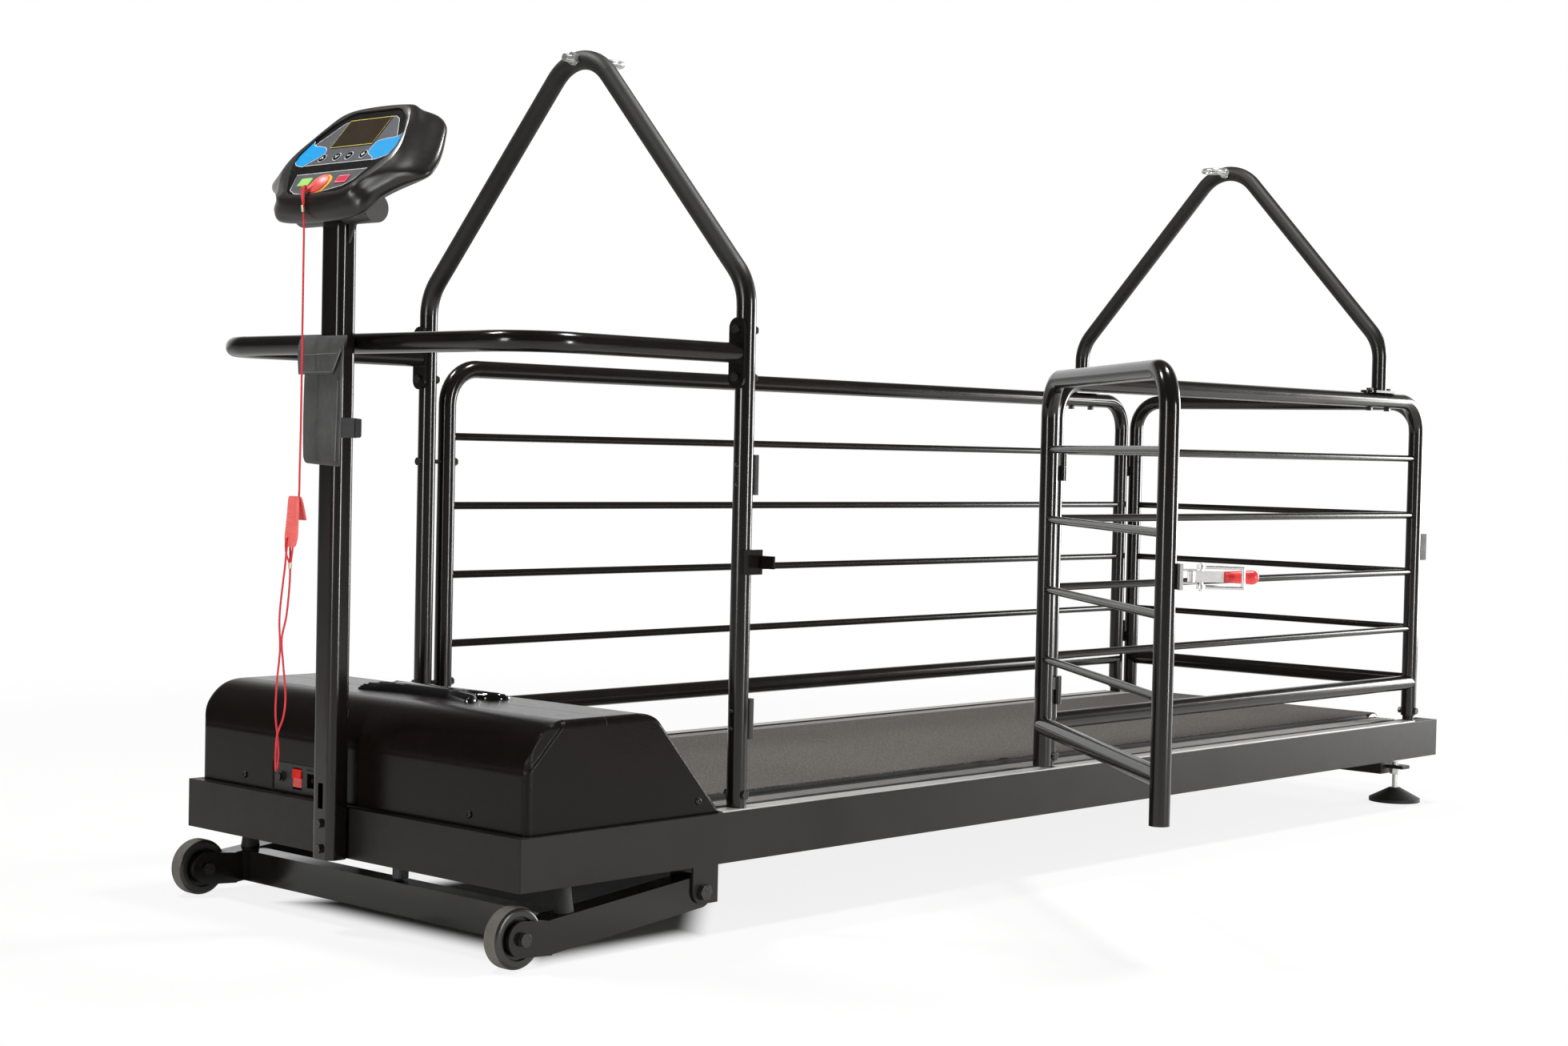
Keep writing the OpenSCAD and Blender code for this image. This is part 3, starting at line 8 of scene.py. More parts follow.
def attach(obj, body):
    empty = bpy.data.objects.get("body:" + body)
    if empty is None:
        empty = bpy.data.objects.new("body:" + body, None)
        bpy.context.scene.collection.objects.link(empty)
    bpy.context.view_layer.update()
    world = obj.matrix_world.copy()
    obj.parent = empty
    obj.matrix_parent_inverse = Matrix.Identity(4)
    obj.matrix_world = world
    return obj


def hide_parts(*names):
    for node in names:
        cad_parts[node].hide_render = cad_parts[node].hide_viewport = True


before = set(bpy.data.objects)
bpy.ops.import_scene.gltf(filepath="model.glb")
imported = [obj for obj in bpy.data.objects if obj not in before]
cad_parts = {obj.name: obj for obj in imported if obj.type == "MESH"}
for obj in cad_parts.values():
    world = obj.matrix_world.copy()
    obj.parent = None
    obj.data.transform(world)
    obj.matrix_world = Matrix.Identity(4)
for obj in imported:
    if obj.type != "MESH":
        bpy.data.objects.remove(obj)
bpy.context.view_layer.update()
mm = 0.001

# Steel base: the front skirt, the two long side rails and the cross members between them.
# Folded and welded sheet steel, sprayed black with a powder coat that keeps a fine orange peel. On the ledges
# beside the belt the coat is painted near black and duller, a painted shade of the gap there.


class Socket:
    """One socket of a finish. Arithmetic on it adds Math nodes, and node() adds any other node."""

    def __init__(self, tree, socket):
        self.tree, self.socket = tree, socket

    def node(self, kind, inputs, out=0, **settings):
        added = self.tree.nodes.new("ShaderNode" + kind)
        for name, value in settings.items():
            setattr(added, name, value)
        for name, value in inputs.items():
            if isinstance(value, Socket):
                self.tree.links.new(value.socket, added.inputs[name])
            else:
                added.inputs[name].default_value = value
        return Socket(self.tree, added.outputs[out])

    def math(self, operation, a, b=0.0):
        return self.node("Math", {0: a, 1: b}, operation=operation)

    def __add__(self, other):
        return self.math("ADD", self, other)

    def __sub__(self, other):
        return self.math("SUBTRACT", self, other)

    def __rsub__(self, other):
        return self.math("SUBTRACT", other, self)

    def __mul__(self, other):
        return self.math("MULTIPLY", self, other)

    def __gt__(self, other):
        return self.math("GREATER_THAN", self, other)

    def __lt__(self, other):
        return self.math("LESS_THAN", self, other)

    def __abs__(self):
        return self.math("ABSOLUTE", self)

    __radd__, __rmul__ = __add__, __mul__


def colour(red, green, blue):
    """A screen colour, 0 to 255, turned by the sRGB curve into the linear one that a shader takes."""
    levels = [c / 255 for c in (red, green, blue)]
    return (*(c / 12.92 if c <= 0.04045 else ((c + 0.055) / 1.055) ** 2.4 for c in levels), 1.0)


def new_finish(name):
    """A material, and the socket with each point's place on the piece at rest, in metres."""
    material = bpy.data.materials.new(name)
    material.use_nodes = True
    places = material.node_tree.nodes.new("ShaderNodeTexCoord")
    return material, Socket(material.node_tree, places.outputs["Object"])


def mottle(at, scale, detail=2.0):
    """Soft random spots, 0 to 1, about 1 / scale metres wide."""
    return at.node("TexNoise", {"Vector": at, "Scale": scale, "Detail": detail})


def mix(a, b, share):
    """Colour a with that share of colour b."""
    return share.node("Mix", {0: share, 6: a, 7: b}, out=2, data_type="RGBA")


def shade(material, inputs, grain=None, depth=0.0, edge=0.0):
    """Sets the surface's sockets. grain is a height map of that depth, edge rounds the corners' shine."""
    tree = material.node_tree
    surface = tree.nodes["Principled BSDF"]
    start = Socket(tree, None)
    normal = start.node("Bevel", {"Radius": edge}, samples=4) if edge else None
    if grain:
        relief = {"Height": grain, "Distance": depth}
        if normal:
            relief["Normal"] = normal
        normal = start.node("Bump", relief)
    if normal:
        inputs = {**inputs, "Normal": normal}
    for name, value in inputs.items():
        if isinstance(value, Socket):
            tree.links.new(value.socket, surface.inputs[name])
        else:
            surface.inputs[name].default_value = value


def dress(material, *nodes):
    """Gives CAD nodes a finish."""
    for name in nodes:
        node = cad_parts[name]
        if not node.material_slots:
            node.data.materials.append(material)
        for slot in node.material_slots:
            slot.material = material


powder_coat, at = new_finish("powder_coat")
ledge_x, ledge_y, ledge_z = 306 * mm, 303 * mm, 135 * mm
along_x, along_y, along_z = (at.node("SeparateXYZ", {"Vector": at}, out=axis) for axis in "XYZ")
# The ledges beside the belt: base colour painted near black as painted shade in the gap, and rougher.
shaded_ledge = (along_x > ledge_x) * (abs(along_y) < ledge_y) * (along_z > ledge_z)
coat = mix(colour(25, 23, 20), colour(36, 34, 30), mottle(at, 14))
shade(
    powder_coat,
    {
        "Base Color": mix(coat, colour(4, 4, 3), shaded_ledge),
        "Roughness": 0.32 + 0.16 * mottle(at, 60) + 0.4 * shaded_ledge,
        "Specular IOR Level": 0.22,
    },
    grain=mottle(at, 900),
    depth=0.00008,
    edge=0.0012,
)
dress(powder_coat, "front_skirt", "side_rail_near", "side_rail_far", "cross_members")

# Deck board and running belt: a dark laminate board that lies on the rails' shelves, and a woven belt
# with a rough, speckled top ply that runs round both rollers.

laminate, at = new_finish("deck_laminate")
fibre = mottle(at, 400, 4)
shade(
    laminate,
    {"Base Color": mix(colour(24, 22, 20), colour(38, 35, 31), fibre), "Roughness": 0.5 + 0.2 * fibre},
    grain=fibre,
    depth=0.0001,
)
dress(laminate, "deck_board")

belt_ply, at = new_finish("belt_ply")
pimples = at.node("TexVoronoi", {"Vector": at, "Scale": 420.0})
speckle = 0.5 * mottle(at, 760, 3) + 0.5 * mottle(at, 330, 4)
bright_spots = speckle * speckle * speckle * 1.9
shade(
    belt_ply,
    {
        "Base Color": mix(colour(16, 15, 14), colour(160, 154, 146), bright_spots),
        "Roughness": 0.72 + 0.2 * speckle,
        "Specular IOR Level": 0.25,
    },
    grain=pimples + speckle,
    depth=0.0005,
)
dress(belt_ply, "running_belt")

# Foot strips: on each side an outer flat strip and an inner ribbed strip, drawn aluminium,
# brushed along their length and clipped over the rails. The ribbed strip's edge by the belt and the flat
# strip's edge by the groove between them are painted near black, a painted shade of the gap and groove.

strip_metal, at = new_finish("strip_aluminium")
along = at.node("Mapping", {"Vector": at, "Scale": (6.0, 900.0, 900.0)})
brush = mottle(along, 1.0, 3)
ribs_from, ribs_to, flat_from = 260 * mm, 290 * mm, 306 * mm
off_middle = abs(at.node("SeparateXYZ", {"Vector": at}, out="Y"))
# Bands painted near black and dull: the belt side of the ribbed strip and the flat strip's edge by the groove,
# painted shade.
painted_groove_shade = (off_middle < ribs_from) + (off_middle > ribs_to) * (off_middle < flat_from)
drawn = mix(colour(176, 173, 167), colour(208, 206, 201), brush)
ribbed = mix(drawn, colour(150, 147, 143), off_middle < ribs_to)
shade(
    strip_metal,
    {
        "Base Color": mix(ribbed, colour(8, 8, 7), painted_groove_shade),
        "Metallic": 0.85 - 0.85 * painted_groove_shade,
        "Roughness": 0.34 + 0.14 * brush + 0.3 * painted_groove_shade,
    },
    grain=brush,
    depth=0.00006,
    edge=0.0005,
)
dress(strip_metal, "foot_strips")

# Rollers and axles: turned steel with fine turning marks, the axles bolted between the rails.
# The latch's plate and draw bar and the studs of the rear feet have the same bright surface.

bright_steel, at = new_finish("bright_steel")
turning = mottle(at, 700, 4)
shade(
    bright_steel,
    {
        "Base Color": mix(colour(196, 195, 192), colour(226, 225, 222), turning),
        "Metallic": 0.7,
        "Roughness": 0.22 + 0.16 * turning,
    },
    grain=turning,
    depth=0.00004,
    edge=0.0004,
)
dress(bright_steel, "drive_roller", "tail_roller", "roller_axles", "latch_base", "latch_u_bar", "foot_studs")

# Drive under the hood: painted motor, its pulley and ribbed belt, the controller's finned case and
# the incline motor. Bolted to the motor tray and only seen with the hood off.

motor_enamel, at = new_finish("motor_enamel")
cast = mottle(at, 160, 3)
shade(
    motor_enamel,
    {"Base Color": mix(colour(34, 37, 42), colour(52, 55, 60), cast), "Roughness": 0.4 + 0.2 * cast},
    grain=cast,
    depth=0.0002,
)
dress(motor_enamel, "motor", "incline_motor", "incline_rod")

anodised, at = new_finish("controller_case")
satin = mottle(at, 500, 3)
shade(
    anodised,
    {
        "Base Color": mix(colour(120, 122, 124), colour(150, 151, 152), satin),
        "Metallic": 0.9,
        "Roughness": 0.4 + 0.15 * satin,
    },
    grain=satin,
    depth=0.00005,
)
dress(anodised, "controller", "motor_pulley")

# Rubber: drive belt, bumpers under the base, stop blocks on the posts and the rear foot pads.
# Moulded black rubber with a dry, slightly dusty skin.

rubber, at = new_finish("rubber_black")
bloom = mottle(at, 90, 4)
shade(
    rubber,
    {"Base Color": mix(colour(20, 19, 18), colour(40, 38, 36), bloom), "Roughness": 0.55 + 0.2 * bloom},
    grain=mottle(at, 1200),
    depth=0.0001,
    edge=0.001,
)
dress(rubber, "drive_belt", "bumpers", "stop_blocks", "foot_pad_near", "foot_pad_far")

# Hood: vacuum formed black plastic with a fine leather grain, screwed to the base. A seam crosses its
# top where the front and rear halves meet.

hood_skin, at = new_finish("hood_plastic")
seam_x, seam_half_w, seam_sunk = 137 * mm, 0.6 * mm, 6.0
top_z = 268 * mm
along_x, along_z = (at.node("SeparateXYZ", {"Vector": at}, out=axis) for axis in "XZ")
seam = (abs(along_x - seam_x) < seam_half_w) * (along_z > top_z)
pebble = at.node("TexVoronoi", {"Vector": at, "Scale": 650.0}, feature="SMOOTH_F1")
shade(
    hood_skin,
    {
        "Base Color": mix(colour(15, 11, 9), colour(21, 17, 14), mottle(at, 30)),
        "Roughness": 0.17 + 0.08 * mottle(at, 120) + 0.3 * seam,
        "Specular IOR Level": 0.15,
    },
    grain=pebble - seam_sunk * seam,
    depth=0.0001,
    edge=0.005,
)
dress(hood_skin, "hood")


def loft(name, rings, finish, body, ends=True, crease=40):
    """A skin over closed rings of points in millimetres that rides on a body. ends caps it."""
    count = len(rings[0])
    faces = []
    for first in range(0, (len(rings) - 1) * count, count):
        for k in range(count):
            a, b = first + k, first + (k + 1) % count
            faces.append((a, b, b + count, a + count))
    if ends:
        faces += [tuple(range(count)), tuple(range((len(rings) - 1) * count, len(rings) * count))]
    mesh = bpy.data.meshes.new(name)
    mesh.from_pydata([Vector(p) * mm for ring in rings for p in ring], [], faces)
    tidy = bmesh.new()
    tidy.from_mesh(mesh)
    bmesh.ops.remove_doubles(tidy, verts=tidy.verts, dist=1e-6)
    bmesh.ops.recalc_face_normals(tidy, faces=tidy.faces)
    tidy.to_mesh(mesh)
    tidy.free()
    mesh.shade_smooth()
    mesh.set_sharp_from_angle(angle=math.radians(crease))
    mesh.materials.append(finish)
    piece = bpy.data.objects.new(name, mesh)
    bpy.context.collection.objects.link(piece)
    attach(piece, body)
    return piece


def lathe(name, profile, place, axis, finish, body, sides=32):
    """A turned piece: the profile gives radius and height along the axis from its place."""
    tip = Vector((0, 0, 1)).rotation_difference(Vector(axis)).to_matrix()
    turns = [k * 2 * math.pi / sides for k in range(sides)]
    rings = []
    for r, h in profile:
        rings.append([Vector(place) + tip @ Vector((r * math.cos(t), r * math.sin(t), h)) for t in turns])
    return loft(name, rings, finish, body)


screw_black, at = new_finish("screw_black")
shade(
    screw_black,
    {
        "Base Color": mix(colour(30, 29, 28), colour(52, 50, 48), mottle(at, 500)),
        "Metallic": 0.5,
        "Roughness": 0.24 + 0.14 * mottle(at, 700),
    },
)
screw_head = [(4.6, 0), (4.6, 0.8), (4.1, 1.9), (3.0, 2.6), (2.0, 2.9), (1.7, 2.8), (1.5, 1.4), (0.2, 1.3)]
hood_screws = [
    ("left", (14, 225, 165), (-1, 0, 0)), ("right", (14, -222, 165), (-1, 0, 0)),
    ("side", (291, -322, 167), (0, -1, 0)),
]
for side, place, axis in hood_screws:
    lathe(f"hood_screw_{side}", screw_head, place, axis, screw_black, "chassis")

# Bone plate: a glossy moulded trim in the shape of a bone, domed like a real one and glued on top
# of the hood.

gloss_black, at = new_finish("bone_gloss")
shade(
    gloss_black,
    {
        "Base Color": mix(colour(10, 9, 9), colour(15, 14, 13), mottle(at, 50)),
        "Roughness": 0.08 + 0.06 * mottle(at, 35),
        "Specular IOR Level": 0.45,
        "Coat Weight": 0.3,
    },
)
bone_at = Vector((142, 5.5, 280))
bone_l, bone_h, bone_skew, lobe_r, lobe_gap, shaft_half = 161, 11, 2, 25, 56, 19
bone_turn = Matrix.Rotation(math.atan2(bone_skew, bone_l), 3, "Z")
lobes = [Vector((a * lobe_gap / 2, b * bone_l / 2)) for b in (1, -1) for a in (1, -1)]


def bone_depth(p):
    """How far a point lies inside the bone's outline."""
    shaft = min(shaft_half - abs(p.x), bone_l / 2 - abs(p.y))
    return max(shaft, *(lobe_r - (p - lobe).length for lobe in lobes))


def bone_edge(turn, inset):
    """The point that far inside the outline, on a ray from the bone's middle, found by halving."""
    slim, reach, halvings = 0.42, 150.0, 30
    ray = Vector((slim * math.cos(turn), math.sin(turn)))
    near, far = 0.0, reach
    for _ in range(halvings):
        half = (near + far) / 2
        near, far = (half, far) if bone_depth(ray * half) > inset else (near, half)
    return ray * near


bone_rings = []
dome_w, dome_steps, bone_sides = 18, 8, 240
for k in range(dome_steps + 1):
    rise = k / dome_steps * math.pi / 2
    inset = dome_w * (1 - math.cos(rise))
    edge = [bone_edge(t * 2 * math.pi / bone_sides, inset) for t in range(bone_sides)]
    bone_rings.append([bone_at + bone_turn @ Vector((p.x, p.y, bone_h * math.sin(rise))) for p in edge])
bone = loft("bone_trim", bone_rings, gloss_black, "chassis", crease=70)
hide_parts("bone_plate")

# Switches: a black plastic plate set into the hood's front, which holds a red rocker, a reset button
# and the mains inlet.

switch_black, at = new_finish("switch_black")
shade(
    switch_black,
    {
        "Base Color": mix(colour(17, 16, 15), colour(27, 25, 24), mottle(at, 80)),
        "Roughness": 0.35 + 0.15 * mottle(at, 300),
    },
    grain=mottle(at, 1500),
    depth=0.00005,
    edge=0.0006,
)
dress(switch_black, "switch_plate", "power_inlet", "reset_button")

rocker_red, at = new_finish("rocker_red")
shade(
    rocker_red,
    {
        "Base Color": mix(colour(196, 22, 14), colour(222, 38, 26), mottle(at, 120)),
        "Roughness": 0.2 + 0.1 * mottle(at, 200),
        "Coat Weight": 0.3,
    },
    edge=0.0008,
)
dress(rocker_red, "rocker_switch")

# Mast and console bar: a rounded steel box tube bolted to the skirt, and a cross bar in dark plastic at
# its top. The mast's glossy enamel is that of the handrail, panels, gates and incline frame.

tube_enamel, at = new_finish("tube_enamel")
flow = mottle(at, 22, 3)
shade(
    tube_enamel,
    {
        "Base Color": mix(colour(17, 14, 12), colour(25, 22, 19), flow),
        "Roughness": 0.12 + 0.07 * flow,
        "Specular IOR Level": 0.42,
    },
    grain=flow,
    depth=0.000008,
)
dress(
    tube_enamel, "mast", "handrail", "far_panel", "near_panel", "side_gate", "rear_gate", "gate_hinges",
    "latch_catch", "incline_frame",
)

plug_plastic, at = new_finish("bar_plastic")
shade(
    plug_plastic,
    {
        "Base Color": mix(colour(44, 42, 40), colour(56, 54, 52), mottle(at, 70)),
        "Roughness": 0.38 + 0.12 * mottle(at, 200),
    },
    grain=mottle(at, 1500),
    depth=0.00004,
)
dress(plug_plastic, "console_bar")

# Console: a moulded shell clamped on the bar. Its rim stands round a glossy printed face with a display
# window, four round buttons and the start and stop pads.

face_at = Vector((31, -1, 989))
tilt = math.radians(49.3)
face_up = Vector((math.cos(tilt), 0, math.sin(tilt)))
face_out = Vector((-math.sin(tilt), 0, math.cos(tilt)))


def on_face(up, across, out):
    """A place on the console's face: up the face, across it and out of it."""
    return face_at + face_up * up + Vector((0, across, 0)) + face_out * out


def smooth_line(points, steps, closed=False):
    """Points on a smooth line through the given ones."""
    ring = [Vector(p) for p in points]
    ends = [ring[-1], *ring, ring[0], ring[1]] if closed else [ring[0], *ring, ring[-1]]
    line = []
    for a, b, c, d in zip(ends, ends[1:], ends[2:], ends[3:]):
        bow, twist = 2 * a - 5 * b + 4 * c - d, 3 * b - a - 3 * c + d
        for t in (k / steps for k in range(steps)):
            line.append((2 * b + (c - a) * t + bow * t**2 + twist * t**3) / 2)
    return line if closed else [*line, ring[-1]]


def mirrored(half):
    """A closed outline from its half with across >= 0, whose ends lie on the middle line."""
    return [*half, *((up, -across) for up, across in half[-2:0:-1])]


shell_skin, at = new_finish("console_plastic")
shade(
    shell_skin,
    {
        "Base Color": mix(colour(26, 23, 21), colour(34, 31, 28), mottle(at, 40)),
        "Roughness": 0.28 + 0.06 * mottle(at, 150),
        "Specular IOR Level": 0.45,
    },
    grain=mottle(at, 1400),
    depth=0.00001,
)
shell_halves = [
    (-46, [(2, 0), (0, 50), (-6, 78), (-18, 96), (-36, 100), (-52, 96), (-68, 90), (-78, 80), (-86, 66),
           (-94, 54), (-104, 40), (-108, 0)]),
    (-32, [(16, 0), (15, 58), (10, 84), (-2, 107), (-22, 121), (-47, 135), (-67, 141), (-82, 136), (-90, 107),
           (-101, 80), (-124, 61), (-132, 0)]),
    (-22, [(24, 0), (23, 60), (19, 86), (4, 110), (-16, 125), (-45, 140), (-70, 148), (-90, 147), (-104, 119),
           (-121, 95), (-150, 75), (-156, 0)]),
    (-10, [(25, 0), (23, 52), (17, 72), (1, 92), (-22, 109), (-46, 123), (-70, 133), (-92, 136), (-109, 115),
           (-126, 95), (-148, 76), (-157, 0)]),
    (0, [(23, 0), (21, 46), (16, 66), (-3, 84), (-28, 97), (-58, 112), (-82, 117), (-98, 113), (-110, 99),
         (-124, 84), (-143, 66), (-149, 0)]),
    (5, [(17, 0), (15, 42), (7, 66), (-11, 80), (-32, 92), (-58, 105), (-80, 107), (-96, 99), (-110, 90),
         (-124, 79), (-138, 65), (-141, 0)]),
]
panel_half = [
    (11, 0), (11, 40), (8, 50), (-8, 72), (-32, 88), (-58, 96.5), (-74, 94.5), (-96, 82), (-126, 60),
    (-133, 48), (-133, 0),
]
panel_edge = [Vector(p) for p in mirrored(panel_half)]
panel_middle = Vector((-62, 0))


def wall_point(p):
    """The place on the face panel's edge on the ray from its middle to a point of the rim."""
    ray = p - panel_middle
    for a, b in zip(panel_edge, [*panel_edge[1:], panel_edge[0]]):
        side, gap = b - a, a - panel_middle
        cross = ray.x * side.y - ray.y * side.x
        if abs(cross) > 1e-9:
            share = (gap.x * side.y - gap.y * side.x) / cross
            along = (gap.x * ray.y - gap.y * ray.x) / cross
            if share > 0 and 0 <= along <= 1:
                return panel_middle + ray * share
    return panel_middle + ray


shell_steps = 6
rim_inner, rim_foot = 4.6, 0.2
flat_rings = [smooth_line(mirrored(half), shell_steps, closed=True) for _, half in shell_halves]
depths = [out for out, _ in shell_halves]
columns = [
    smooth_line([(p.x, p.y, out) for p, out in zip(column, depths)], shell_steps) for column in zip(*flat_rings)
]
shell_rings = [[on_face(*p) for p in ring] for ring in zip(*columns)]
rim_edge = [wall_point(p) for p in flat_rings[-1]]
shell_rings += [[on_face(p.x, p.y, out) for p in rim_edge] for out in (rim_inner, rim_foot)]
shell = loft("console_case", shell_rings, shell_skin, "chassis", crease=60)
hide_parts("console_shell")

face_black, at = new_finish("overlay_black")
shade(
    face_black,
    {
        "Base Color": mix(colour(12, 11, 10), colour(18, 17, 16), mottle(at, 60)),
        "Roughness": 0.14 + 0.1 * mottle(at, 90),
        "Specular IOR Level": 0.4,
    },
)
dress(face_black, "console_panel")


def ink(name, dark, light):
    """A plain printed or moulded colour with a faint unevenness."""
    material, at = new_finish(name)
    spots = mottle(at, 160)
    shade(
        material,
        {
            "Base Color": mix(colour(*dark), colour(*light), spots),
            "Roughness": 0.3 + 0.1 * spots,
            "Specular IOR Level": 0.2,
        },
    )
    return material


panel_top, ink_t = 2.5, 0.12
ink_grey = ink("print_grey", (80, 82, 87), (92, 94, 99))
ink_blue = ink("print_blue", (6, 148, 218), (16, 164, 230))
ink_white = ink("print_white", (214, 214, 212), (232, 232, 230))
ink_yellow = ink("print_yellow", (206, 186, 76), (224, 206, 96))


def print_patch(name, outline, material, layer, body="chassis", base=panel_top):
    """A flat patch of ink on the face."""
    low = base + layer * ink_t
    patch = loft(name, [[on_face(*p, out) for p in outline] for out in (low, low + ink_t)], material, body)


def print_line(name, outline, width, material, layer, body="chassis", base=panel_top):
    """A closed line of ink along an outline."""
    low = base + layer * ink_t
    outline = [Vector(p) for p in outline]
    rings = []
    for before, p, after in zip([outline[-1], *outline], outline, [*outline[1:], outline[0]]):
        way = (after - before).normalized()
        side = Vector((way.y, -way.x)) * width / 2
        section = ((p + side, low), (p + side, low + ink_t), (p - side, low + ink_t), (p - side, low))
        rings.append([on_face(*place, out) for place, out in section])
    line = loft(name, [*rings, rings[0]], material, body, ends=False)


upper_grey = [(-40, 80), (-6, 51), (-2.7, 41), (-2, -46), (-8, -57), (-41, -80.5), (-79, -61.6), (-79, 68)]
lower_grey = [
    (-95, 69), (-122, 58.5), (-129, 44.6), (-132, 22), (-129.5, -6), (-121, -45), (-112, -57.5), (-94, -69),
]
left_swoosh = [
    (-33, 89), (-42, 80), (-45, 65.5), (-49, 51), (-59, 45), (-66, 51.6), (-77, 67.6), (-80, 72), (-76, 88),
    (-66, 98), (-55, 98), (-43, 96),
]
right_swoosh = [
    (-31, -90), (-40.5, -83.5), (-43.5, -59), (-47, -47), (-56, -44.5), (-66.5, -47), (-75.6, -62.5),
    (-80, -65), (-76, -83), (-68, -95), (-52, -98),
]
swoosh_steps = 5
for side, outline in (("upper", upper_grey), ("lower", lower_grey)):
    print_patch(f"print_{side}", outline, ink_grey, layer=0)
    print_line(f"print_{side}_line", outline, 0.9, ink_white, layer=1)
for side, outline in (("left", left_swoosh), ("right", right_swoosh)):
    curve = smooth_line(outline, swoosh_steps, closed=True)
    print_patch(f"print_swoosh_{side}", curve, ink_blue, layer=2)
    print_line(f"print_swoosh_{side}_line", curve, 0.8, ink_white, layer=3)

display_glass, at = new_finish("display_glass")
shade(
    display_glass,
    {
        "Base Color": mix(colour(46, 38, 28), colour(62, 51, 38), mottle(at, 30)),
        "Roughness": 0.1 + 0.05 * mottle(at, 60),
    },
)
dress(display_glass, "display_lens")
lens_top = panel_top + 1.2
border = [(-3, 41), (-3, -41), (-50.5, -41), (-50.5, 41)]
print_line("display_border", border, 1.2, ink_yellow, layer=0, base=lens_top)

button_black, at = new_finish("button_black")
shade(
    button_black,
    {
        "Base Color": mix(colour(8, 7, 7), colour(14, 13, 12), mottle(at, 300)),
        "Roughness": 0.2 + 0.1 * mottle(at, 500),
        "Specular IOR Level": 0.12,
    },
)
round_up, ring_r, ring_w, ring_sides = -68, 6.3, 1.1, 48
button_top = panel_top + 1.2
arrow_up = [(3, 0), (-2, 3.6), (-2, 1.6), (0.4, 0), (-2, -1.6), (-2, -3.6)]
dash = [(0.8, 3.2), (-0.8, 3.2), (-0.8, -3.2), (0.8, -3.2)]
arrow_down = [(-up, across) for up, across in arrow_up]
plus = [
    (0.8, 3.2), (0.8, 0.8), (3.2, 0.8), (3.2, -0.8), (0.8, -0.8), (0.8, -3.2), (-0.8, -3.2), (-0.8, -0.8),
    (-3.2, -0.8), (-3.2, 0.8), (-0.8, 0.8), (-0.8, 3.2),
]
round_buttons = [
    ("incline_up_button", 42, arrow_up), ("incline_down_button", 13, arrow_down),
    ("speed_down_button", -11, dash), ("speed_up_button", -39, plus),
]
ring_turns = [k * 2 * math.pi / ring_sides for k in range(ring_sides)]
for name, middle, sign in round_buttons:
    dress(button_black, name)
    ring = [(round_up + ring_r * math.cos(t), middle + ring_r * math.sin(t)) for t in ring_turns]
    print_line(f"{name}_ring", ring, ring_w, ink_white, layer=4)
    outline = [(round_up + up, middle + across) for up, across in sign]
    print_patch(f"{name}_sign", outline, ink_white, layer=0, body=name, base=button_top)

start_green = ink("start_green", (158, 214, 104), (176, 230, 124))
dress(start_green, "start_button")
stop_red = ink("stop_red", (204, 32, 62), (222, 46, 78))
dress(stop_red, "stop_button")
pad_line = [(-104.8, -25.5), (-104.8, -45.5), (-115.2, -45.5), (-115.2, -25.5)]
print_line("stop_line", pad_line, 0.7, ink_white, layer=0, body="stop_button", base=button_top)

# Safety key: soft red moulded plastic with a lug for its cord. A magnet holds it on a round yellow seat
# at the lower end of the console's face.

coral, at = new_finish("key_red")
shade(
    coral,
    {
        "Base Color": mix(colour(232, 78, 70), colour(244, 100, 92), mottle(at, 90)),
        "Roughness": 0.36 + 0.12 * mottle(at, 250),
        "Subsurface Weight": 0.1,
        "Subsurface Radius": (0.002, 0.0006, 0.0005),
    },
    edge=0.0008,
)
dress(coral, "safety_key")
seat_yellow = ink("seat_yellow", (238, 176, 46), (248, 198, 74))
seat_form = [(15.75, 0.1), (15.75, 1.0), (15.6, 1.15), (0.2, 1.15)]
seat_at = on_face(-116, 0.5, panel_top)
seat = lathe("key_seat", seat_form, seat_at, face_out, seat_yellow, "chassis", sides=64)

# Safety cord: a thin braided red cord. It is looped through the key's lug and crimped, hangs past the
# pouch to the clip, and runs down in a long slack loop that is crimped to the clip's lower hole.

cord_d = 2.5 * mm
cord_x = -68
cord_route = [
    (-57.5, 13.9, 895), (-60.5, 14, 898.5), (-65, 12.5, 898), (-69, 8.5, 889), (-70, 4, 877), (-69, 3.5, 862),
    (cord_x, 4, 840), (cord_x, 4, 760), (cord_x, 4, 690), (cord_x, 4, 620), (cord_x, 5, 560),
    (cord_x, 6, 527), (cord_x, 16, 500), (cord_x, 27, 472), (cord_x, 32, 440), (cord_x, 39, 400),
    (cord_x, 41, 375), (cord_x, 39, 342), (cord_x, 44, 304), (cord_x, 46, 265), (cord_x, 41, 237),
    (-69, 37, 218), (-72, 34, 203), (-79, 27, 198), (-84, 22, 206), (-84, 20, 240), (-81, 12, 264),
    (-79, 11, 289), (-77, 19, 324), (-75, 26, 356), (-73, 20, 385), (-70, 19, 421), (cord_x, 21, 446),
    (cord_x, 22, 474),
]
key_loop = [
    (-57.5, 13.6, 895), (-61.5, 11, 899.5), (-66, 8, 898.5), (-69.6, 4.6, 889), (-70.6, 1.8, 880),
    (-70, 3.2, 872),
]
clip_loop = [
    (cord_x, 20.6, 446), (-74, 20.4, 458), (-76.2, 19.4, 470), (-76, 18.2, 477), (-73, 17.4, 478.6),
    (-69, 16.6, 477), (-67.6, 17, 468), (-67.6, 19, 456), (cord_x, 20.8, 446),
]
cord_steps = 8
cord_line = [p * mm for p in smooth_line(cord_route, cord_steps)]
cord_red, at = new_finish("cord_red")
braid = at.node("TexWave", {"Vector": at, "Scale": 260.0, "Distortion": 2.0}, bands_direction="DIAGONAL")
shade(
    cord_red,
    {"Base Color": mix(colour(205, 30, 44), colour(236, 62, 70), braid), "Roughness": 0.5 + 0.2 * braid},
    grain=braid,
    depth=0.0002,
)


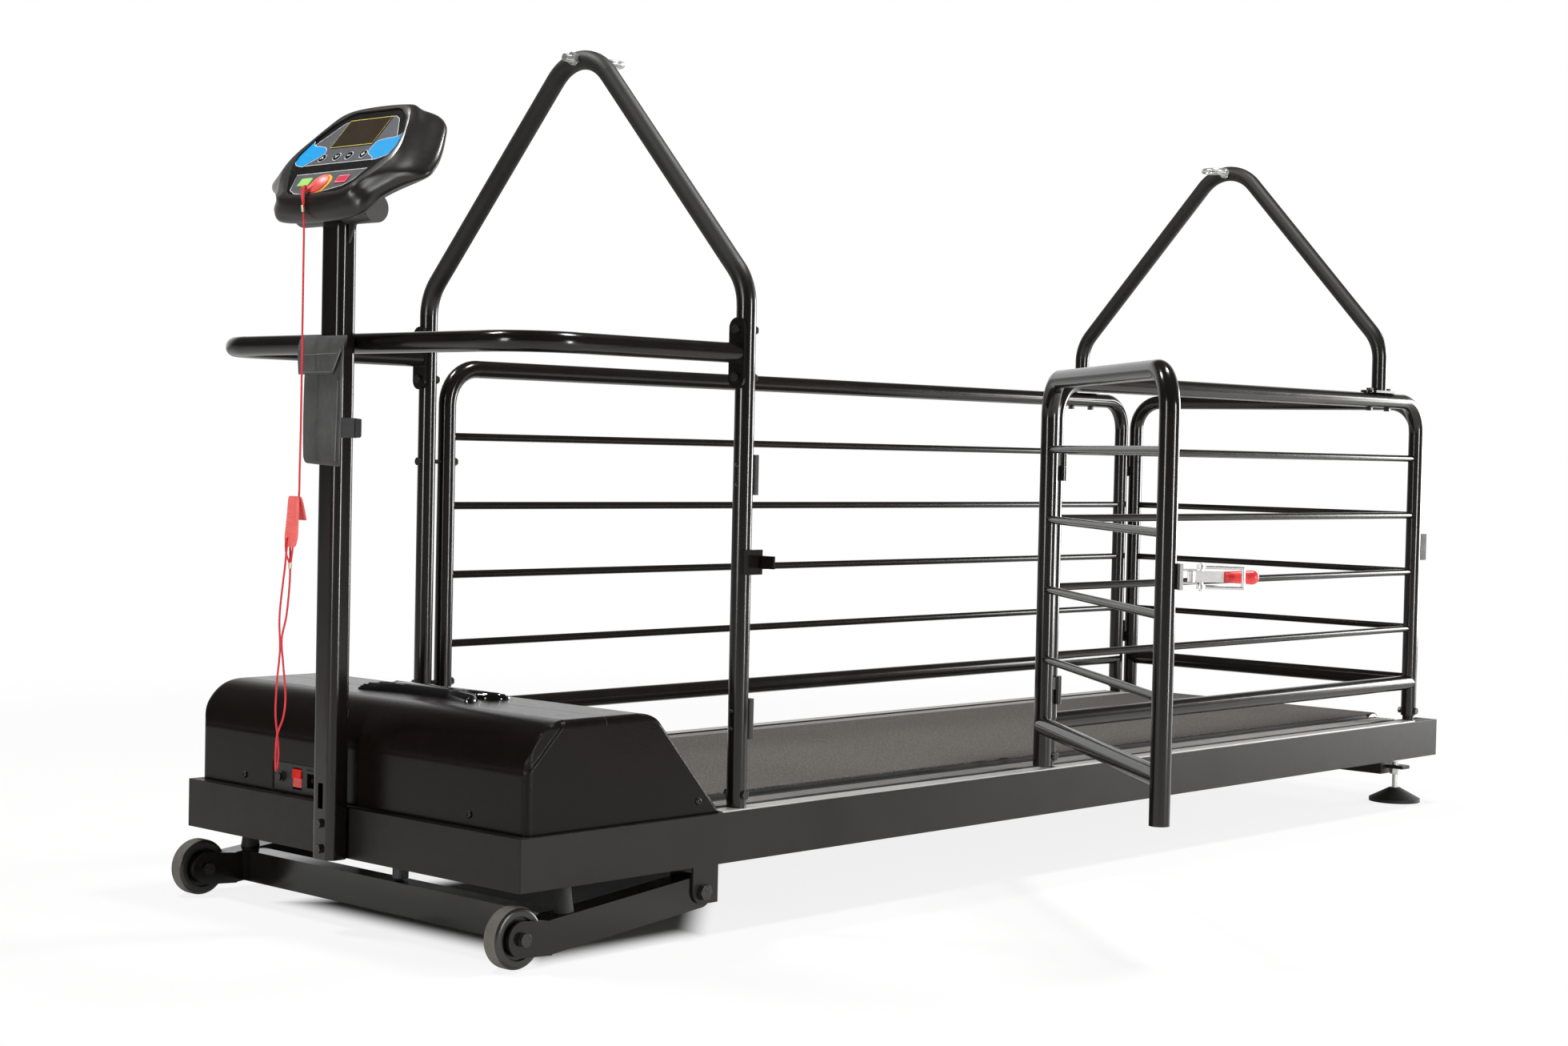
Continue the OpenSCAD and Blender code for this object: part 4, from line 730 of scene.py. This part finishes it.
def strand(name, places):
    """A length of the cord through places in metres."""
    curve = bpy.data.curves.new(name, "CURVE")
    curve.dimensions = "3D"
    curve.bevel_depth = cord_d / 2
    curve.bevel_resolution = 3
    curve.use_fill_caps = True
    spline = curve.splines.new("POLY")
    spline.points.add(len(places) - 1)
    for point, place in zip(spline.points, places):
        point.co = (*place, 1.0)
    curve.materials.append(cord_red)
    piece = bpy.data.objects.new(name, curve)
    bpy.context.collection.objects.link(piece)
    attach(piece, "safety_key")
    return piece


cord = strand("cord_red", cord_line)
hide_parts("safety_cord")
loops = [
    strand(name, [p * mm for p in smooth_line(route, cord_steps)])
    for name, route in (("cord_key_loop", key_loop), ("cord_clip_loop", clip_loop))
]

crimp_brass, at = new_finish("crimp_brass")
shade(
    crimp_brass,
    {
        "Base Color": mix(colour(196, 180, 140), colour(226, 214, 182), mottle(at, 900)),
        "Metallic": 0.7,
        "Roughness": 0.3 + 0.15 * mottle(at, 600),
    },
)
crimp_form = [(1.6, 0), (2.2, 0.6), (2.3, 4), (2.2, 7.4), (1.6, 8)]
crimps = [
    lathe("crimp_key", crimp_form, (-69.7, 3.8, 868), (-0.06, 0.04, 1), crimp_brass, "safety_key"),
    lathe("crimp_clip", crimp_form, (cord_x - 0.3, 20.8, 441), (0.02, 0.06, 1), crimp_brass, "safety_key"),
]

# Clip at the cord's end: a sprung clothing clip of the key's red plastic. The front jaw has fine ribs for
# the thumb on its lower part, and the shorter rear jaw spreads behind it.

clip_middle = 12
front_face, front_back, rear_face, rear_back = -74.5, -70.4, -70.2, -67.2
lean, lean_from, jaw_corner = 0.09, 498, 1.2
rib_from, rib_to, rib_deep = 484, 513, 0.5
grip_low, grip_half_w, grip_taper, grip_rows = 485, 12, 0.06, 28
clip_pink, at = new_finish("clip_pink")
shade(
    clip_pink,
    {
        "Base Color": mix(colour(242, 96, 92), colour(250, 122, 116), mottle(at, 90)),
        "Roughness": 0.4 + 0.12 * mottle(at, 250),
        "Subsurface Weight": 0.1,
        "Subsurface Radius": (0.002, 0.0006, 0.0005),
    },
)
front_jaw = [(468, 7), (469.5, 8.6), (473, 10.4), (478, 11.8), (484, 12)]
front_jaw += [(grip_low + k, grip_half_w - grip_taper * k) for k in range(grip_rows)]
front_jaw += [(514, 10.3), (524, 9.9), (527.5, 9.4), (529, 8.4)]


def jaw_ring(z, half_w, front, back):
    """One level of a leaning jaw: a rounded bar from front to back."""
    middle = clip_middle + (lean_from - z) * lean
    flat_w = half_w - jaw_corner
    half = [(front, flat_w), (front + jaw_corner, half_w), (back - jaw_corner, half_w), (back, flat_w)]
    return [(x, middle + y, z) for x, y in [*half, *((x, -y) for x, y in reversed(half))]]


jaw_rings = []
for level, half_w in front_jaw:
    rib = rib_deep if rib_from < level < rib_to and round(level) % 2 else 0.0
    jaw_rings.append(jaw_ring(level, half_w, front_face + rib, front_back))
clip = loft("clip_front_jaw", jaw_rings, clip_pink, "safety_key", crease=35)
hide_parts("cord_clip")
rear_levels = [
    (500, 8.4, 10.5), (506, 8.6, 8.6), (514, 8.8, 6), (521, 9, 3.4), (526, 9, 1.2), (528.5, 8.2, 0),
]
jaw_rings = [jaw_ring(z, half_w, rear_face + swing, rear_back + swing) for z, half_w, swing in rear_levels]
rear_jaw = loft("clip_rear_jaw", jaw_rings, clip_pink, "safety_key", crease=35)
cord_length = sum((b - a).length for a, b in zip(cord_line, cord_line[1:]))

# Remote pouch: a sewn bag of black nylon that sags a little, with a gusset, a stitched near edge and a
# flap that comes over from the back. A webbing strap holds it to the mast.

pouch_cloth, at = new_finish("pouch_fabric")
weave = at.node("TexWave", {"Vector": at, "Scale": 420.0, "Distortion": 1.0}, bands_direction="Z")
weft = at.node("TexWave", {"Vector": at, "Scale": 420.0, "Distortion": 1.0}, bands_direction="Y")
# The crumple noise bumps the cloth and also paints lighter and darker patches into its colour, painted shade of
# the folds.
crumple_and_fold_shade = mottle(at, 32, 3)
shade(
    pouch_cloth,
    {
        "Base Color": mix(colour(20, 20, 20), colour(74, 74, 73), 0.25 * weave * weft + 0.75 * crumple_and_fold_shade),
        "Roughness": 0.5 + 0.15 * weave,
        "Sheen Weight": 0.15,
    },
    grain=weave + weft + 24.0 * crumple_and_fold_shade,
    depth=0.0002,
)
pouch_back, pouch_low, hem_top, hem_slope = -30.4, 565, 570, 0.05
pouch_left, left_slope, pouch_right, right_slope = 38.8, -0.01, -30, -0.042
gusset_w, sag_deep, fold_across, fold_up, fold_seed = 8, 1.5, 0.05, 0.016, 3.7
pouch_levels = [
    (565, 6, 2), (566, 8, 0.9), (569, 9.4, 0.2), (576, 10.6, 0), (592, 11.2, 0), (608, 11.5, 0), (624, 11.7, 0),
    (640, 11.7, 0), (656, 11.6, 0), (672, 11.4, 0.1), (688, 10.8, 0.4), (704, 9.8, 0.8), (713, 8, 1.4),
    (718, 5, 2.2),
]
loop_sides, side_power, front_power, strap_power = 72, 0.16, 0.4, 0.4


def squarish(part, power):
    """A sine or cosine that is pulled towards 1 and -1, so that a circle turns into a rounded box."""
    return math.copysign(abs(part) ** power, part)


pouch_rings = []
for level, deep, slack in pouch_levels:
    left = pouch_left + left_slope * (level - pouch_low)
    right = pouch_right + right_slope * (level - pouch_low)
    ring = []
    for k in range(loop_sides):
        turn = (k + 0.5) * 2 * math.pi / loop_sides
        across = squarish(math.sin(turn), side_power)
        front = squarish(math.cos(turn), front_power)
        x = pouch_back - deep / 2 - front * deep / 2
        y = (left + right) / 2 + across * ((left - right) / 2 - slack)
        gusset = gusset_w * max(0.0, -front) * max(0.0, -across)
        fold = noise.noise(Vector((y * fold_across, level * fold_up, fold_seed)))
        sag = sag_deep * fold * max(0.0, front)
        ring.append((x + sag, y + gusset, level + (hem_slope * (y - right) if level < hem_top else 0)))
    pouch_rings.append(ring)
pouch = loft("pouch_bag", pouch_rings, pouch_cloth, "chassis", crease=60)
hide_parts("remote_pouch")

flap_run = [
    (-30.9, 709, 40, -32), (-31.6, 717, 41, -36), (-34.5, 721.6, 42, -41), (-38.6, 721.8, 42.4, -46),
    (-42.4, 718.4, 42.8, -50), (-44.8, 711.6, 43.2, -49), (-45.6, 701, 43.4, -41), (-45.4, 688, 43.4, -32.5),
    (-44.6, 675.6, 43, -24.6),
]
flap_steps = 4
flap_line = smooth_line(flap_run, flap_steps)
flap_last = len(flap_line) - 1
flap_t, flap_columns, corner_lift, corner_from = 1.2, 24, -2.0, 0.7
ripple_deep, ripple_across, ripple_down, ripple_seed = 0.5, 4, 0.16, 9.1
flap_rings = []
for k, (x, z, left, right) in enumerate(tuple(p) for p in flap_line):
    before, after = flap_line[max(k - 1, 0)], flap_line[min(k + 1, flap_last)]
    way = Vector((after[0] - before[0], 0, after[1] - before[1])).normalized()
    inward = Vector((-way.z, 0, way.x)) * flap_t
    bow = math.sin(math.pi * k / flap_last) ** 2
    top = []
    for share in (j / flap_columns for j in range(flap_columns + 1)):
        lift = corner_lift * max(0.0, share - corner_from) / (1 - corner_from) * bow
        ripple = ripple_deep * noise.noise(Vector((share * ripple_across, k * ripple_down, ripple_seed)))
        top.append(Vector((x + lift + ripple, left + (right - left) * share, z)))
    flap_rings.append([*top, *(p + inward for p in reversed(top))])
flap = loft("pouch_flap", flap_rings, pouch_cloth, "chassis", crease=50)

thread, at = new_finish("pouch_thread")
twist = mottle(at, 900)
shade(thread, {"Base Color": mix(colour(128, 128, 125), colour(160, 160, 156), twist), "Roughness": 0.8})


def stitches(name, start, end, count):
    """A row of short stitches that stand a little out of the cloth, towards the front."""
    start, end = Vector(start), Vector(end)
    step = (end - start) / count
    in_share, out_share, dip = 0.15, 0.75, step * 0.1
    out, low, side = Vector((-0.35, 0, 0)), Vector((0.5, 0, 0)), Vector((0, 0.3, 0.3))
    rings = []
    for k in range(count):
        a, b = start + step * (k + in_share), start + step * (k + out_share)
        rings.append([a + low] * 4)
        for p in (a + dip, b - dip):
            rings.append([p + out + side, p + out - side, p + low - side, p + low + side])
        rings.append([b + low] * 4)
    row = loft(name, rings, thread, "chassis", ends=False)


stitches("flap_hem", (-45.8, 34, 699), (-46.4, -36, 700.5), 26)
stitches("flap_edge", (-45, 40, 678.2), (-45, -24, 678.4), 24)
stitches("flap_side", (-45.4, -26.4, 680), (-47, -44, 705), 11)
stitches("pouch_edge", (-41.6, -28.2, 572), (-41.8, -32.2, 668), 36)

strap_low, strap_high, strap_inner = 600, 624, 0.93
mast_half, mast_middle = Vector((17.4, 22.4)), Vector((-15, 5))
strap_rings = []
for turn in (k * 2 * math.pi / loop_sides for k in range(loop_sides)):
    deep, wide = squarish(math.cos(turn), strap_power), squarish(math.sin(turn), strap_power)
    outer = Vector((deep * mast_half.x, wide * mast_half.y))
    inner = outer * strap_inner
    section = ((outer, strap_low), (outer, strap_high), (inner, strap_high), (inner, strap_low))
    strap_rings.append([(*(mast_middle + p), z) for p, z in section])
webbing, at = new_finish("pouch_webbing")
ribs = at.node("TexWave", {"Vector": at, "Scale": 300.0, "Distortion": 0.6}, bands_direction="Z")
shade(
    webbing,
    {"Base Color": mix(colour(34, 34, 34), colour(50, 50, 50), ribs), "Roughness": 0.75},
    grain=ribs,
    depth=0.0002,
)
strap = loft("pouch_strap", [*strap_rings, strap_rings[0]], webbing, "chassis", ends=False)
tail = [(0, 0), (6.5, 0.6), (8, 2.4), (8, 23), (0, 24)]
tail_way = Vector((0.95, -0.31, 0))
tail_side = Vector((0.31, 0.95, 0)) * 1.4
tail_at = Vector((-4, -17.6, strap_low))
tail_face = [tail_at + tail_way * u + Vector((0, 0, v)) for u, v in tail]
strap_tail = loft("strap_tail", [tail_face, [p + tail_side for p in tail_face]], webbing, "chassis")

# Front and rear arch: bent steel tubes with an enamel that is glossy on the upright legs and dull on the
# sloping ones. The front one stands on the rails' stubs and the rear one is bolted on the panels' top
# tubes. A zinc plated eye bolt for the leash goes through each peak.

arch_enamel, at = new_finish("arch_enamel")
flow = mottle(at, 22, 3)
bend_from, bend_to = 770 * mm, 840 * mm
height = at.node("SeparateXYZ", {"Vector": at}, out="Z")
sloping = at.node("MapRange", {"Value": height, "From Min": bend_from, "From Max": bend_to})
shade(
    arch_enamel,
    {
        "Base Color": mix(colour(18, 16, 14), colour(26, 24, 21), flow),
        "Roughness": 0.12 + 0.07 * flow + 0.4 * sloping,
        "Specular IOR Level": 0.42,
    },
    grain=flow,
    depth=0.000008,
)
dress(arch_enamel, "front_arch", "rear_arch")

eye_zinc, at = new_finish("eye_zinc")
plating = mottle(at, 90)
shade(
    eye_zinc,
    {
        "Base Color": mix(colour(205, 206, 206), colour(232, 233, 233), plating),
        "Metallic": 0.8,
        "Roughness": 0.2 + 0.08 * plating,
    },
)
dress(eye_zinc, "leash_eyes")

# Bolts and wheel axles: steel with a dark oxide skin, screwed through the tubes, plates and forks.
# Four small black screws sit in the near leg of the front arch.

bolt_black, at = new_finish("bolt_black")
oxide = mottle(at, 500, 3)
shade(
    bolt_black,
    {
        "Base Color": mix(colour(44, 43, 42), colour(78, 76, 74), oxide),
        "Metallic": 0.7,
        "Roughness": 0.2 + 0.14 * oxide,
    },
    edge=0.0005,
)
dress(bolt_black, "frame_bolts", "wheel_axles")

post_screw = [(2.6, 0), (2.6, 0.6), (2.1, 1.5), (1.2, 2.0), (0.2, 2.1)]
post_front = (357.8, -310)
for k, level in enumerate((250, 272, 552, 576)):
    screw = lathe(f"post_screw_{k}", post_screw, (*post_front, level), (-1, 0, 0), screw_black, "chassis")

# Wheels: each a rubber tyre with a worn grey tread and black walls on a dark hub. They turn freely on
# axles in the incline frame's forks.

tyre, at = new_finish("wheel_grey")
hub_r, tread_r = 25 * mm, 35 * mm
axis_x, axis_z = 5 * mm, 36 * mm
apart = at.node("SeparateXYZ", {"Vector": at}, out="X") - axis_x
upright = at.node("SeparateXYZ", {"Vector": at}, out="Z") - axis_z
round_about = apart * apart + upright * upright
hub = round_about < hub_r**2
tread = round_about > tread_r**2
worn = mottle(at, 120)
wall_black = mix(colour(38, 37, 35), colour(24, 23, 22), hub)
shade(
    tyre,
    {
        "Base Color": mix(wall_black, mix(colour(84, 81, 74), colour(108, 104, 96), worn), tread),
        "Roughness": 0.2 + 0.1 * worn + 0.4 * tread,
    },
    grain=mottle(at, 900),
    depth=0.00004,
    edge=0.002,
)
dress(tyre, "wheel_near", "wheel_far")

# Latch lever: zinc plated steel whose grip is dipped in red plastic. It turns on a pin in the latch's
# plate on the side gate.

lever, at = new_finish("latch_lever")
pin = (0.638, -0.7944, 0.457)
dip_from = 39 * mm
dip = at.node("VectorMath", {0: at, 1: pin}, out="Value", operation="DISTANCE") > dip_from
scuff = mottle(at, 400)
shade(
    lever,
    {
        "Base Color": mix(mix(colour(205, 204, 202), colour(232, 231, 229), scuff), colour(222, 58, 58), dip),
        "Metallic": 0.6 - 0.6 * dip,
        "Roughness": 0.3 + 0.1 * scuff,
    },
    edge=0.0008,
)
dress(lever, "latch_handle")

# Studio: a pale floor that keeps a soft shadow and has a painted shadow in dark grey under the base's front,
# a white wall behind the machine with the dark room in front of it, and soft boxes on the right, on the left
# and overhead.

floor_half = 30.0
floor_corners = [(x * floor_half, y * floor_half, 0) for x, y in ((-1, -1), (1, -1), (1, 1), (-1, 1))]
floor_mesh = bpy.data.meshes.new("studio_floor")
floor_mesh.from_pydata(floor_corners, [], [(0, 1, 2, 3)])
floor = bpy.data.objects.new("studio_floor", floor_mesh)
bpy.context.collection.objects.link(floor)
floor_white, at = new_finish("floor_white")
mirror_share = 0.35
camera_rays, glossy_rays = (at.node("LightPath", {}, out=f"Is {kind} Ray") for kind in ("Camera", "Glossy"))
rays = camera_rays + mirror_share * glossy_rays
tree = floor_white.node_tree
glow = at.node("Emission", {"Color": (1.0, 1.0, 1.0, 1.0), "Strength": 1.0})
paint = Socket(tree, tree.nodes["Principled BSDF"].outputs[0])


def ease(value, start, end, low=0.0, high=1.0):
    """Goes softly from low to high while the value goes from start to end."""
    span = {"Value": value, "From Min": start, "From Max": end, "To Min": low, "To Max": high}
    return value.node("MapRange", span, interpolation_type="SMOOTHSTEP")


floor_middle = (1.0, 0.0, 0.0)
away = at.node("VectorMath", {0: at, 1: floor_middle}, out="Value", operation="DISTANCE")
whiter = ease(away, start=1.2, end=3.2, low=0.85)
along_x, along_y = (at.node("SeparateXYZ", {"Vector": at}, out=axis) for axis in "XY")
shadow_slope, shadow_right, shadow_rear, shadow_front = 1.09, -0.33, 0.29, 0.05
shadow_y, shadow_half_w = -0.06, 0.25
behind = along_x - shadow_slope * (along_y - shadow_right) - shadow_rear
past_base = at.math("MAXIMUM", behind, shadow_front - along_x)
from_base = at.math("MAXIMUM", past_base, abs(along_y - shadow_y) - shadow_half_w)
clear = ease(from_base, start=-0.05, end=0.02)
# Under the base's front the floor's colour is a painted shadow in dark grey, and the white glow is taken away
# there.
pale = mix(colour(238, 238, 236), colour(244, 244, 242), mottle(at, 3))
shade(floor_white, {"Base Color": mix(colour(96, 95, 92), pale, clear), "Roughness": 0.9})
blend = at.node("MixShader", {0: whiter * clear * rays.math("MINIMUM", rays, 1.0), 1: paint, 2: glow})
tree.links.new(blend.socket, tree.nodes["Material Output"].inputs["Surface"])
floor_mesh.materials.append(floor_white)

world = bpy.data.worlds.new("studio_surround")
bpy.context.scene.world = world
world.use_nodes = True
sky_tree = world.node_tree
sky = Socket(sky_tree, None)
seen = sky.node("LightPath", {}, out="Is Camera Ray") + sky.node("LightPath", {}, out="Is Transmission Ray")
way = sky.node("TexCoord", {}, out="Generated")
wall_way = (0.84, 0.54, 0.0)
towards = sky.node("VectorMath", {0: way, 1: wall_way}, out="Value", operation="DOT_PRODUCT")
height = sky.node("SeparateXYZ", {"Vector": way}, out="Z")
room_dark, dim_light = 0.08, 0.35
wall = ease(towards, start=0.2, end=0.75)
below_top = ease(height, start=0.3, end=0.55, low=1.0, high=0.0)
room = room_dark + (1 - room_dark) * (wall * below_top)
shine = dim_light + (1 - dim_light) * sky.node("LightPath", {}, out="Is Glossy Ray")
strength = sky.math("MAXIMUM", sky.math("MINIMUM", seen, 1.0), room * shine)
sky_tree.nodes["Background"].inputs["Color"].default_value = (1.0, 1.0, 1.0, 1.0)
sky_tree.links.new(strength.socket, sky_tree.nodes["Background"].inputs["Strength"])


def soft_box(name, place, aim, size, power):
    """A rectangular soft light that looks at aim."""
    lamp = bpy.data.lights.new(name, "AREA")
    lamp.shape = "RECTANGLE"
    lamp.size, lamp.size_y = size
    lamp.energy = power
    box = bpy.data.objects.new(name, lamp)
    box.location = place
    box.rotation_euler = (Vector(aim) - Vector(place)).to_track_quat("-Z", "Y").to_euler()
    bpy.context.collection.objects.link(box)


middle = (0.9, 0.0, 0.5)
soft_box("soft_box_right", (1.3, -4.2, 0.8), middle, (0.45, 1.7), 95)
soft_box("soft_box_rear", (4.8, -1.1, 0.8), middle, (1.5, 1.4), 110)
soft_box("soft_box_left", (-3.6, -0.5, 1.2), middle, (0.7, 2.0), 60)
soft_box("soft_box_top_left", (-0.4, 1.2, 3.2), (0.5, 0, 0.3), (0.5, 0.5), 66)
soft_box("soft_box_top_right", (1.4, -0.7, 3.2), (0.9, 0, 0.3), (0.5, 0.5), 68)

# Camera: stands at the front left, 0.6 m above the floor, with a normal lens and its frame level but
# for a small roll.

eye = Vector((-1.8434, -2.4402, 0.5951))
yaw, pitch, roll = 0.8215, -0.0289, 0.0216
sensor_w = 36.0
focal_px, frame_px = 3096.2, 1960
forward = Vector((math.sin(yaw) * math.cos(pitch), math.cos(yaw) * math.cos(pitch), math.sin(pitch)))
right = forward.cross(Vector((0, 0, 1))).normalized()
up = right.cross(forward)
tilted_right = math.cos(roll) * right + math.sin(roll) * up
tilted_up = math.cos(roll) * up - math.sin(roll) * right
lens = bpy.data.cameras.new("photo_camera")
lens.sensor_fit = "HORIZONTAL"
lens.sensor_width = sensor_w
lens.lens = focal_px / frame_px * sensor_w
lens.clip_end = 100.0
camera = bpy.data.objects.new("photo_camera", lens)
stand = Matrix((tilted_right, tilted_up, -forward)).transposed().to_4x4()
camera.matrix_world = Matrix.Translation(eye) @ stand
bpy.context.collection.objects.link(camera)
bpy.context.scene.camera = camera
bpy.context.scene.view_settings.view_transform = "Standard"
